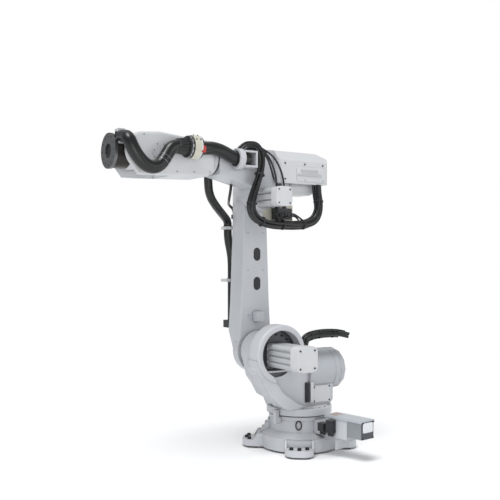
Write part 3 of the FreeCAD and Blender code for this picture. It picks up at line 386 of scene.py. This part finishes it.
# ---- axis-2 gear unit -----------------------------------------------------------------------
# Gear unit of machined, oiled iron, let into the ring and held by 16 cap screws round its face.
# Oiled iron: gives the ring's mouth a dark, wet-looking metal.
gear_iron = coat("oiled_machined_iron", "#5b5d60", "#4b4d50", "#7a7c7f", (0.28, 0.42), 4.0, 0.08, 2.0, 0.85,
                 0.05)
finish_nodes(gear_iron, "axis2_gearbox")
gear_low, gear_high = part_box("axis2_gearbox")
axis2_x, axis2_z = 0.32, 0.78
gear_screw_r = 0.145
skin("gear_unit_screws", "turret", cap_screws(
    [(axis2_x + gear_screw_r * math.cos(a), gear_high[1], axis2_z + gear_screw_r * math.sin(a))
     for a in np.arange(16) * math.pi / 8], (0, 1, 0), 0.0075, 0.008), screw_steel)


# ---- axis-2 motor ---------------------------------------------------------------------------
# Servo motor: an extruded aluminium sleeve with long cooling grooves, painted white, and a smooth
# cast end cap held by four cap screws. Its shaft drives the gear unit.
def motor_sleeve(x, z, size, y0, y1, corner, grooves, groove_deep):
    """Rounded-square sleeve along Y: r(a) = h / (|cos a|^p + |sin a|^p)^(1/p), less a round-bottomed groove
    exp(-((u - u_k) / w)^4) at each place u_k across a face, faded out near both ends."""
    around = 288
    angle = np.arange(around) * (2 * math.pi / around)
    reach = size / 2 * (np.abs(np.cos(angle)) ** corner + np.abs(np.sin(angle)) ** corner) ** (-1 / corner)
    across = np.where(np.abs(np.cos(angle)) > np.abs(np.sin(angle)), np.sin(angle), np.cos(angle)) * reach
    groove_wide = 0.045 * size
    dip = sum((np.exp(-((across - place * size) / groove_wide) ** 4) for place in grooves), 0 * angle)
    along = np.array([0, 0, 0.003, 0.010, 0.030, 0.044, 0.5, 0.956, 0.970, 0.990, 0.997, 1.0, 1.0])
    scale = np.array([0.5, 0.96, 0.985, 1.0, 1.0, 1.0, 1.0, 1.0, 1.0, 1.0, 0.985, 0.96, 0.5])
    fade = np.array([0, 0, 0, 0, 0.1, 1.0, 1.0, 1.0, 0.1, 0, 0, 0, 0])
    radius = scale[:, None] * reach[None] - fade[:, None] * groove_deep * dip[None]
    y = y0 + along * (y1 - y0)
    return np.stack([x + radius * np.sin(angle)[None], np.repeat(y[:, None], around, axis=1),
                     z + radius * np.cos(angle)[None]], axis=-1)


# Enamel on aluminium: gives the sleeves a greyer white, with soft shadows in the grooves.
motor_paint = coat("white_motor_enamel", "#b9bcbf", "#adb0b3", "#6f7174", (0.30, 0.42), 6.0, 0.2, 3.0)
low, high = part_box("axis2_motor")
cap_low, cap_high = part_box("axis2_motor_cap")
motor_z = 0.772
motor = skin("axis2_motor_sleeve", "turret", [motor_sleeve(axis2_x, motor_z, 0.178, low[1], high[1], 9.0,
                                                           (-0.27, 0.0, 0.27), 0.011)], motor_paint)
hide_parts("axis2_motor")
cap = skin("axis2_motor_end_cap", "turret", [motor_sleeve(axis2_x, motor_z, 0.192, cap_low[1], cap_high[1],
                                                          5.0, (), 0.0)], cover_enamel)
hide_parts("axis2_motor_cap")
skin("axis2_motor_screws", "turret", cap_screws(
    [(axis2_x + x, cap_high[1], motor_z + z) for x in (-0.066, 0.066) for z in (-0.066, 0.066)],
    (0, 1, 0), 0.0065, 0.006), screw_steel)

# ---- balancing cylinder ---------------------------------------------------------------------
# Spring cylinder that balances the arm's weight: a rolled and welded steel sleeve with a faceted
# end cap, both in grey enamel. Eight cap screws close the cap.
# Enamel on drawn steel: gives the sleeve long, soft highlights.
cylinder_paint = coat("grey_enamel_on_steel_sleeve", "#b4b8bd", "#a8acb1", "#74777b", (0.30, 0.44), 8.0, 0.3,
                      4.0)
low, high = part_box("balancing_cylinder")
cap_low, cap_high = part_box("balancing_cap")
centre_y, centre_z = (low[1] + high[1]) / 2, (low[2] + high[2]) / 2
sleeve_long = high[0] - low[0]
sleeve_r = (high[2] - low[2]) / 2
sleeve = skin("balancing_sleeve", "turret", [lathe(
    (high[0], centre_y, centre_z), (-1, 0, 0),
    np.array([0, 0, 0.80, 0.805, 0.82, 0.825, 0.96, 0.965, 1.0]) * sleeve_long,
    np.array([0.5, 1, 1, 0.985, 0.985, 1, 1, 0.975, 0.975]) * sleeve_r, 96)], cylinder_paint)
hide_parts("balancing_cylinder")
facet = np.arange(96) * (2 * math.pi / 96)
flat = np.cos(math.pi / 12) / np.cos((facet % (math.pi / 6)) - math.pi / 12)
cap_r = (cap_high[2] - cap_low[2]) / 2
dome = np.array([0.98, 1.0, 1.0, 0.985, 0.955, 0.90, 0.80, 0.62, 0.34])
cap = skin("balancing_end_cap", "turret", [lathe(
    (cap_high[0], centre_y, centre_z), (-1, 0, 0),
    np.array([0, 0.02, 0.34, 0.48, 0.62, 0.76, 0.88, 0.97, 1.0]) * (cap_high[0] - cap_low[0]),
    cap_r * dome[:, None] * flat[None], 96)], cylinder_paint, 0.35)
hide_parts("balancing_cap")
cap_screw_r = 0.095
skin("balancing_cap_screws", "turret", cap_screws(
    [(cap_low[0] + 0.010, centre_y + cap_screw_r * math.cos(a), centre_z + cap_screw_r * math.sin(a))
     for a in np.arange(8) * math.pi / 4], (-1, 0, 0), 0.008, 0.008), screw_steel)


# ---- free cable bundle ----------------------------------------------------------------------
# Seven polyurethane-sheathed leads, cut to length and strapped side by side, that come up out of
# the gland and stand off the turret with free, bare ends.
def smooth_line(points_mm, name):
    """Points along the smooth line that the control points steer: a third-order NURBS through both ends."""
    curve = bpy.data.curves.new(name, "CURVE")
    curve.dimensions = "3D"
    curve.resolution_u = 12
    spline = curve.splines.new("NURBS")
    spline.points.add(len(points_mm) - 1)
    for point, place in zip(spline.points, points_mm):
        point.co = (place[0] / 1000, place[1] / 1000, place[2] / 1000, 1)
    spline.order_u = 3
    spline.use_endpoint_u = True
    holder = bpy.data.objects.new(name, curve)
    bpy.context.scene.collection.objects.link(holder)
    bpy.context.view_layer.update()
    drawn = bpy.data.meshes.new_from_object(holder)
    line = np.empty(len(drawn.vertices) * 3)
    drawn.vertices.foreach_get("co", line)
    bpy.data.objects.remove(holder)
    bpy.data.meshes.remove(drawn)
    return line.reshape(-1, 3)


def frames(line):
    """Tangent and two cross directions along a line, carried on from point to point with the least turn."""
    tangent = np.gradient(line, axis=0)
    tangent /= np.linalg.norm(tangent, axis=1)[:, None]
    helper = np.array([0.0, 0.0, 1.0]) if abs(tangent[0][2]) < 0.8 else np.array([1.0, 0.0, 0.0])
    across = [np.cross(helper, tangent[0])]
    across[0] /= np.linalg.norm(across[0])
    for ahead in tangent[1:]:
        side = across[-1] - ahead * across[-1].dot(ahead)
        across.append(side / np.linalg.norm(side))
    across = np.array(across)
    return tangent, across, np.cross(tangent, across)


def hose_skin(line, radius, around=28):
    """Tube round a line: point(s, a) = line(s) + r(s) (cos a e1(s) + sin a e2(s)), both ends closed."""
    _, first, second = frames(line)
    angle = np.arange(around) * (2 * math.pi / around)
    radius = np.broadcast_to(np.asarray(radius, float), (len(line),))
    return line[:, None] + radius[:, None, None] * (np.cos(angle)[None, :, None] * first[:, None]
                                                    + np.sin(angle)[None, :, None] * second[:, None])


def lay_beside(line, out, angle, twist):
    """A line beside another, out metres away at an angle that turns by twist from end to end."""
    _, first, second = frames(line)
    turn = angle + twist * np.linspace(0, 1, len(line))
    out = np.broadcast_to(np.asarray(out, float), (len(line),))[:, None]
    return line + out * (np.cos(turn)[:, None] * first + np.sin(turn)[:, None] * second)


# Extruded polyurethane: gives the glossy black leads with narrow bright lines.
cable_jacket = coat("black_polyurethane_cable_jacket", "#17181a", "#111214", "#3a3b3d", (0.22, 0.36), 4.0, 0.12,
                    0.5, 0.0, 0.08)
pigtail = smooth_line([(66, 150, 812), (66, 150, 866), (22, 152, 898), (-70, 156, 912), (-180, 156, 914),
                       (-300, 152, 906), (-412, 142, 876)], "pigtail_line")
share = np.linspace(0, 1, len(pigtail))
cut_back = (0, 6, 12, 3, 9, 16, 1)
for index in range(7):
    loose = (1 + 0.5 * share * math.sin(index * 2.3)) * (0.004 if index == 6 else 0.0235)
    lead_line = lay_beside(pigtail, loose, index * math.pi / 3, 0.9 + 0.5 * math.sin(index * 1.7))
    lead_line = lead_line[:len(lead_line) - cut_back[index]]
    step = np.linalg.norm(np.diff(lead_line, axis=0), axis=1)
    lead = skin(f"pigtail_lead_{index + 1}", "turret", [hose_skin(lead_line, 0.0112, 18)], cable_jacket)
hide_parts("pigtail_bundle")
# Moulded nylon: gives the straps and clips a duller black than the leads they hold.
strap_nylon = coat("black_nylon_strap", "#202123", "#191a1c", "#454648", (0.45, 0.6), 2.0, 0.1, 0.8, 0.0,
                   0.08)
tangents = frames(pigtail)[0]
straps = [lathe(pigtail[i] - tangents[i] * 0.004, tangents[i], [0, 0.0015, 0.0065, 0.008],
                [0.0352, 0.0365, 0.0365, 0.0352], 36) for i in (len(pigtail) // 3, len(pigtail) // 2,
                                                               3 * len(pigtail) // 4)]
skin("pigtail_straps", "turret", straps, strap_nylon)

# ---- drum shackle ---------------------------------------------------------------------------
# Bent ring of black steel wire, 9 mm thick, that hangs on the base drum below the turret.
# What it is for is not known.
turn = np.linspace(0, 2 * math.pi, 60)
drum_way = math.radians(52)
outward = np.array([math.cos(drum_way), math.sin(drum_way), 0.0])
sideways = np.array([-math.sin(drum_way), math.cos(drum_way), 0.0])
shackle_half_wide, shackle_half_high = 0.022, 0.034
loop = (outward * 0.2465 + np.array([0, 0, 0.214]) + np.sin(turn)[:, None] * shackle_half_wide * sideways
        + np.cos(turn)[:, None] * np.array([0, 0, shackle_half_high]))
skin("drum_shackle", "base", [hose_skin(loop, 0.0045, 12)], screw_steel)

# ---- lower arm ------------------------------------------------------------------------------
# Box beam cast of grey iron. The two slotted openings in its inner wall are drawn as dark plates,
# painted shade that stands for the hollow beam behind them. Zinc-plated screws hold the round cover at
# axis 3, and six more stand in the inner wall.
# Painted shade: gives the slot plates a deep, rough near-black in place of the shadow inside the beam.
slot_painted_shade = coat("painted_slot_shade", "#303236", "#26282b", "#4c4e52", (0.6, 0.75), 6.0, 0.6, 1.0, 0.0, 0.05)
slot_x, slot_face_y = 0.306, -0.158
slot_r, slot_half_straight = 0.032, 0.020
angle = np.arange(48) * (2 * math.pi / 48)
# Thin near-black plates set just inside the wall's face: painted shade where the slots open.
slots = []
for slot_z in (1.313, 1.548):
    outline = np.stack([slot_x + slot_r * np.cos(angle), np.full(48, slot_face_y),
                        slot_z + slot_r * np.sin(angle) + np.sign(np.sin(angle)) * slot_half_straight],
                       axis=-1)[::-1]
    slots.append(np.stack([outline + np.array([0, shift, 0]) for shift in (-0.010, 0.0, 0.004)]))
skin("arm_slot_shade_plates", "lower_arm", slots, slot_painted_shade)
axis3_z = 2.06
cover_screw_r = 0.074
cover_face_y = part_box("arm_outer_cover")[0][1]
skin("arm_cover_screws", "lower_arm", cap_screws(
    [(axis2_x + cover_screw_r * math.cos(a), cover_face_y, axis3_z + cover_screw_r * math.sin(a))
     for a in np.arange(8) * math.pi / 4], (0, -1, 0), 0.006, 0.006), zinc_steel)
skin("arm_side_screws", "lower_arm", cap_screws(
    [(axis2_x + x, -0.153, z) for x in (-0.072, 0.072) for z in (1.06, 1.42, 1.72)], (0, 1, 0), 0.005, 0.004),
     zinc_steel)

# ---- lower hose and thin cable --------------------------------------------------------------
# Smooth rubber hose, 66 mm thick, and a sheathed cable that climb the far side of the arm, held
# in nylon clips, and cross axis 3 in free bends.
# Extruded rubber: gives a deep black with one broad, soft line of light.
hose_rubber = coat("smooth_black_hose_rubber", "#101112", "#0c0d0e", "#2b2c2e", (0.28, 0.42), 9.0, 0.25, 1.0,
                   0.0, 0.10)
elbow_line = smooth_line([(760, -158, 2150), (760, -158, 2070), (726, -186, 1996), (660, -226, 1940),
                          (584, -276, 1894), (506, -334, 1856), (446, -372, 1818), (446, -372, 1762),
                          (446, -372, 1704), (434, -376, 1636), (416, -378, 1572), (404, -378, 1490),
                          (404, -378, 1330), (404, -378, 1170), (404, -378, 1010)], "elbow_hose_line")
elbow_hose = skin("lower_hose_tube", None, [hose_skin(elbow_line, 0.033)], hose_rubber)
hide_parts("elbow_hoses", "lower_hose")
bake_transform(elbow_hose)
cable_line = smooth_line([(612, -60, 2085), (612, -66, 2040), (572, -150, 1990), (516, -246, 1966),
                          (462, -336, 1950), (400, -350, 1914), (400, -350, 1872)], "elbow_cable_line")
elbow_cable = skin("elbow_cable_tube", None, [hose_skin(cable_line, 0.011, 20)], cable_jacket)
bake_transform(elbow_cable)
clip_ends = [lathe(place, (0, 0, 1), [0, 0.003, 0.027, 0.030], [0.036, 0.040, 0.040, 0.036], 40)
             for place in ((0.446, -0.372, 1.750), (0.404, -0.378, 1.322))]
skin("lower_hose_clips", "lower_arm", clip_ends, strap_nylon)

# ---- upper arm ------------------------------------------------------------------------------
# Elbow housing cast of grey iron, with a pressed sheet cover over its rear. A ring of cap screws
# closes the axis-3 gear, and more hold the rear cover.
elbow_screw_r, elbow_face_y = 0.148, 0.112
skin("elbow_screws", "upper_arm", cap_screws(
    [(axis2_x + elbow_screw_r * math.cos(a), elbow_face_y, axis3_z + elbow_screw_r * math.sin(a))
     for a in np.arange(4, 16) * math.pi / 8 + 0.2], (0, 1, 0), 0.0075, 0.008), zinc_steel)
low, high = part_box("rear_cover")
cover_side_screws = cap_screws([(x, high[1], z) for x in (-0.10, 0.08, 0.27) for z in (2.128, 2.250)],
                               (0, 1, 0), 0.0065, 0.005)
cover_rear_screws = cap_screws([(low[0], y, z) for y in (-0.09, 0.03, 0.12) for z in (2.13, 2.26)],
                               (-1, 0, 0), 0.0065, 0.005)
skin("rear_cover_screws", "upper_arm", cover_side_screws + cover_rear_screws, screw_steel)
# A raised panel of pressed sheet on the cover's side, with two blank vent strips on it.
skin("rear_cover_panel", "upper_arm", [cushion((0.015, high[1], 2.172), (0, 1, 0), (0, 0, 1), 0.29, 0.116,
                                                0.005, 14.0)], cover_enamel)
skin("rear_cover_vents", "upper_arm",
     [cushion((0.035, high[1] + 0.0045, z), (0, 1, 0), (0, 0, 1), wide, 0.014, 0.006, 14.0)
      for z, wide in ((2.200, 0.17), (2.166, 0.24))], motor_paint)

# ---- axis-3 motor ---------------------------------------------------------------------------
# Same kind of servo motor as on axis 2, one size smaller: a painted aluminium extrusion with two
# grooves to a side and a screwed end cap, hung below the elbow.
low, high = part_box("axis3_motor")
cap_low, cap_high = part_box("axis3_motor_cap")
motor3_x, motor3_z = 0.42, 1.975
motor = skin("axis3_motor_sleeve", "upper_arm", [motor_sleeve(motor3_x, motor3_z, 0.138, low[1], high[1], 8.0,
                                                              (-0.2, 0.2), 0.012)], motor_paint)
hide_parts("axis3_motor")
cap = skin("axis3_motor_end_cap", "upper_arm",
           [motor_sleeve(motor3_x, motor3_z, 0.146, cap_low[1], cap_high[1], 5.0, (), 0.0)], cover_enamel)
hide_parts("axis3_motor_cap")
skin("axis3_motor_screws", "upper_arm", cap_screws(
    [(motor3_x + x, cap_high[1], motor3_z + z) for x in (-0.05, 0.05) for z in (-0.05, 0.05)],
    (0, 1, 0), 0.0055, 0.005), screw_steel)

# ---- elbow harness --------------------------------------------------------------------------
# Seven motor and signal leads in polyurethane jackets, held side by side by nylon clips, with
# thinner leads that leave them for the plugs of the elbow.
harness = smooth_line([(650, 146, 2316), (618, 150, 2350), (580, 156, 2360), (534, 166, 2362), (500, 178, 2316),
                       (492, 184, 2236), (514, 186, 2136), (560, 186, 2022), (596, 186, 1910), (568, 188, 1826),
                       (484, 190, 1782), (384, 192, 1770), (270, 192, 1772), (160, 192, 1774), (60, 190, 1782),
                       (-14, 186, 1816), (-50, 182, 1880), (-62, 174, 1960), (-62, 158, 2034), (-62, 158, 2096)],
                      "harness_line")
share = np.linspace(0, 1, len(harness))
sheets = [hose_skin(lay_beside(harness, 0.0235 * (1 + 0.30 * np.sin(share * (9 + k) + k * 1.9)),
                               k * math.pi / 3 + 0.2, 2.2), 0.0112, 18) for k in range(6)]
sheets.append(hose_skin(harness, 0.0112, 18))
bundle = skin("harness_leads", "upper_arm", sheets, cable_jacket)
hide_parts("elbow_harness")
tangents = frames(harness)[0]
places = [int(len(harness) * share) for share in (0.30, 0.41, 0.52, 0.62, 0.72, 0.92)]
skin("harness_clips", "upper_arm", [lathe(harness[i] - tangents[i] * 0.007, tangents[i],
                                          [0, 0.002, 0.012, 0.014], [0.0375, 0.040, 0.040, 0.0375], 40)
                                    for i in places], strap_nylon)
thin_routes = [[(528, 190, 2350), (470, 214, 2290), (440, 232, 2190), (430, 250, 2110), (430, 300, 2068),
                (424, 330, 2046)],
               [(520, 182, 2362), (452, 206, 2300), (400, 216, 2190), (372, 210, 2090), (356, 178, 2000),
                (340, 160, 1930), (330, 156, 1896)],
               [(510, 180, 2352), (420, 200, 2310), (350, 206, 2230), (300, 200, 2120), (276, 176, 2010),
                (268, 158, 1940), (262, 156, 1896)],
               [(350, 156, 1816), (380, 196, 1800), (300, 220, 1822), (210, 206, 1846), (150, 178, 1824),
                (120, 150, 1812)],
               [(300, 200, 1850), (240, 226, 1862), (170, 214, 1836), (110, 196, 1806), (60, 192, 1790)]]
skin("fan_out_cables", "upper_arm", [hose_skin(smooth_line(route, "fan_line"), 0.0072, 14)
                                     for route in thin_routes], cable_jacket)
plug_places = [((0.424, 0.318, 2.040), (0, 0.25, 1)), ((0.330, 0.156, 1.894), (0, 0, 1)),
               ((0.262, 0.156, 1.894), (0, 0, 1)), ((0.300, 0.198, 1.850), (0, 1, 0)),
               ((0.270, 0.198, 1.846), (0, 1, 0)), ((0.330, 0.198, 1.846), (0, 1, 0))]
plug_ribs = 1 + 0.03 * np.sign(np.sin(np.arange(32) * math.pi / 2))
plug_profile = np.array([0.014, 0.016, 0.016, 0.0125, 0.0115, 0.008])
skin("harness_plugs", "upper_arm", [lathe(np.array(at) - np.array(way) * 0.004, way,
                                          [0, 0.004, 0.022, 0.024, 0.034, 0.038],
                                          plug_profile[:, None] * plug_ribs[None], 32)
                                    for at, way in plug_places], connector_plastic)
# Cast nylon: gives the clamp and the harness plate a warm, waxy cream.
cream_nylon = coat("cream_cast_nylon", "#c6c4b6", "#b9b7a8", "#8f8d80", (0.36, 0.5), 5.0, 0.2, 2.0)
finish_nodes(cream_nylon, "harness_plate", "hose_clamp")

# ---- forearm --------------------------------------------------------------------------------
# Forearm tube cast of grey iron, with pressed sheet covers screwed to both sides. A black lip
# seal closes the gap to the upper arm.
# Moulded nitrile rubber: gives a thin matt black line between two white bodies.
seal_rubber = coat("black_lip_seal_rubber", "#1e1f21", "#18191b", "#3a3a3b", (0.4, 0.55), 3.0, 0.1, 1.0,
                   0.0, 0.05)
axis4_z = 2.26
skin("forearm_seal", "upper_arm", [lathe((0.8222, 0, axis4_z), (1, 0, 0), [0, 0.001, 0.0135, 0.0145],
                                         [0.108, 0.1165, 0.1165, 0.108], 72)], seal_rubber)
shell_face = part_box("near_side_shell")[1][1]
cover_centre = np.array([1.3345, 0, 2.268])
cover_screw_r = 0.052
face_screws = []
side_screws = []
for side in (1, -1):
    ring = [cover_centre + np.array([cover_screw_r * math.cos(a), side * shell_face,
                                     cover_screw_r * math.sin(a)]) for a in np.arange(6) * math.pi / 3]
    face_screws += cap_screws(ring, (0, side, 0), 0.005, 0.004)
    rim = [(x, side * (shell_face - 0.007), z)
           for x, z in ((0.93, 2.338), (1.06, 2.35), (1.20, 2.362), (0.93, 2.140), (1.06, 2.134),
                        (1.20, 2.128), (1.34, 2.124), (1.46, 2.374), (1.46, 2.146), (1.555, 2.26))]
    side_screws += cap_screws(rim, (0, side, 0), 0.0055, 0.005)
skin("round_cover_screws", "forearm", face_screws, zinc_steel)
skin("side_shell_screws", "forearm", side_screws, zinc_steel)


# ---- hose clamp -----------------------------------------------------------------------------
# Turned ring clamp screwed to the forearm's bracket: black end rings, a cream nylon body and a
# notched steel ring between them, closed round the process hose by cap screws.
clamp_y, clamp_z = 0.246, 2.296


def collar_ring(x0, x1, outer, teeth=0, deep=0.0):
    """Ring round the hose: a short drum along X with rolled edges; teeth take d off r where cos(k a) < -0.6."""
    angle = np.arange(96) * (2 * math.pi / 96)
    notch = deep * (np.cos(angle * teeth) < -0.6) if teeth else 0 * angle
    long = x1 - x0
    radii = np.array([0.05, outer - 0.005, outer - 0.0015, outer, outer, outer - 0.0015, outer - 0.005, 0.05])
    radii = radii[:, None] - notch[None] * np.array([0, 1, 1, 1, 1, 1, 1, 0])[:, None]
    along = np.array([0, 0, 0.06, 0.2, 0.8, 0.94, 1, 1]) * long
    return lathe((x0, clamp_y, clamp_z), (1, 0, 0), along, radii, 96)


rings = skin("clamp_end_rings", "forearm", [collar_ring(1.074, 1.088, 0.080), collar_ring(1.148, 1.158, 0.078),
                                            collar_ring(1.166, 1.180, 0.077)], connector_plastic)
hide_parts("clamp_rings")
skin("clamp_steel_ring", "forearm", [collar_ring(1.157, 1.167, 0.079, 12, 0.006)], zinc_steel)
skin("clamp_white_ring", "forearm", [collar_ring(1.086, 1.100, 0.0852)], cover_enamel)
end_screws = cap_screws([(1.180, clamp_y + 0.066 * math.cos(a), clamp_z + 0.066 * math.sin(a))
                         for a in np.arange(8) * math.pi / 4 + 0.3], (1, 0, 0), 0.0055, 0.006)
closing_screws = cap_screws([(1.118 + x, clamp_y + 0.0835 * math.cos(a), clamp_z + 0.0835 * math.sin(a))
                             for x in (-0.016, 0.016) for a in (0.6, 1.3)], (0, 0.6, 0.8), 0.005, 0.005)
skin("clamp_screws", "forearm", end_screws + closing_screws, screw_steel)
# Blank vinyl: gives the clamp its one small spot of red.
tag_red = coat("red_vinyl_tag", "#b3312a", "#a52c26", "#c8837e", (0.3, 0.42), 3.0, 0.05, 0.8, 0.0, 0.05)
skin("clamp_tag", "forearm", [cushion((1.081, 0.3235, 2.278), (0, 1, 0), (0, 0, 1), 0.034, 0.05, 0.003, 8.0,
                                      40)], tag_red)

# ---- process hose ---------------------------------------------------------------------------
# Smooth wire-reinforced rubber hose, 94 mm outside, that runs from the collar on the elbow through
# the clamp to the wrist, in free curves on both sides of the clamp.
rear_line = smooth_line([(600, 160, 2254), (718, 160, 2254), (786, 172, 2278), (864, 200, 2298),
                         (952, 228, 2306), (1014, 246, 2296), (1080, 246, 2296)], "rear_hose_line")
rear_hose = skin("process_hose_rear_tube", None, [hose_skin(rear_line, 0.047, 40)], hose_rubber)
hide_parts("process_hose_rear")
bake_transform(rear_hose)
front_line = smooth_line([(1228, 246, 2296), (1292, 246, 2296), (1344, 250, 2212), (1392, 256, 2150),
                          (1456, 258, 2130), (1524, 258, 2160), (1586, 254, 2240), (1614, 236, 2318),
                          (1612, 190, 2348), (1612, 112, 2352)], "front_hose_line")
slim = 0.047 - 0.006 * np.clip((np.linspace(0, 1, len(front_line)) - 0.80) / 0.12, 0, 1)
front_hose = skin("process_hose_front_tube", None, [hose_skin(front_line, slim, 40)], hose_rubber)
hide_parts("process_hose_front")
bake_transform(front_hose)
# Pleated rubber cuff between the clamp and the hose, and two wire straps on the first bend.
pleats = 0.0535 + 0.0022 * np.cos(np.arange(120) * (2 * math.pi / 120) * 20)
cuff_profile = np.array([1.18, 1.14, 1.02, 0.98, 0.88])
cuff = skin("hose_cuff", "forearm", [lathe((1.172, clamp_y, clamp_z), (1, 0, 0), [0, 0.01, 0.06, 0.078, 0.084],
                                           cuff_profile[:, None] * pleats[None], 120)], hose_rubber, 1.2)
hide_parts("clamped_hose")
tangents = frames(front_line)[0]
places = [int(len(front_line) * share) for share in (0.20, 0.25)]
skin("hose_wire_straps", "forearm", [lathe(front_line[i] - tangents[i] * 0.0012, tangents[i],
                                           [0, 0.0006, 0.0018, 0.0024],
                                           [0.0468, 0.0486, 0.0486, 0.0468], 60) for i in places], zinc_steel)
skin("collar_lip", "upper_arm", [lathe((0.7105, 0.160, 2.254), (1, 0, 0), [0, 0.0015, 0.005, 0.006],
                                       [0.052, 0.0585, 0.0585, 0.052], 60)], seal_rubber)

# ---- wrist and gear unit --------------------------------------------------------------------
# Wrist housing cast of grey iron, a dark oiled iron gear unit screwed to it, and a fine-turned
# steel flange that the tool bolts to.
# Oiled cast iron: gives the gear unit a brown-black, greasy sheen.
greasy_iron = coat("oiled_dark_cast_iron", "#383431", "#2a2624", "#7c756e", (0.26, 0.44), 5.0, 0.4, 3.0, 0.6,
                   0.05)
finish_nodes(greasy_iron, "axis6_unit")
# Fine-turned steel: gives the flange a clean mid-grey shine.
turned_steel = coat("fine_turned_flange_steel", "#77787a", "#68696b", "#9a9c9e", (0.26, 0.38), 2.0, 0.05, 1.5,
                    0.9, 0.03)
finish_nodes(turned_steel, "tool_flange")
wrist_screw_r, tool_bolt_r = 0.107, 0.100
skin("wrist_screws", "wrist", cap_screws(
    [(1.6342, wrist_screw_r * math.cos(a), axis4_z + wrist_screw_r * math.sin(a))
     for a in np.arange(10) * math.pi / 5 + 0.3], (1, 0, 0), 0.0045, 0.004), screw_steel)
# Painted shadow: near-black discs a little inside the flange's bore and holes, standing for their depth.
bore_painted_shadow = coat("painted_bore_shadow", "#17181a", "#121314", "#2a2b2c", (0.4, 0.6), 4.0, 0.1, 1.0)
skin("flange_bore_shadow_disc", "tool_flange", [lathe((1.6503, 0, axis4_z), (1, 0, 0), [0, 0.0004, 0.0008, 0.0010],
                                                [0.0495, 0.0495, 0.0495, 0.046], 64)], bore_painted_shadow)
skin("flange_hole_shadow_discs", "tool_flange",
     [lathe((1.6550, tool_bolt_r * math.cos(a), axis4_z + tool_bolt_r * math.sin(a)), (1, 0, 0),
            [0, 0.001, 0.0042, 0.0045], [0.0063, 0.0063, 0.0063, 0.005], 20)
      for a in np.arange(12) * math.pi / 6], bore_painted_shadow)
skin("bracket_pin", "wrist", [lathe((1.6355, 0.086, 2.372), (1, 0, 0), [0, 0.001, 0.008, 0.010],
                                    [0.012, 0.013, 0.013, 0.010], 28)], screw_steel)
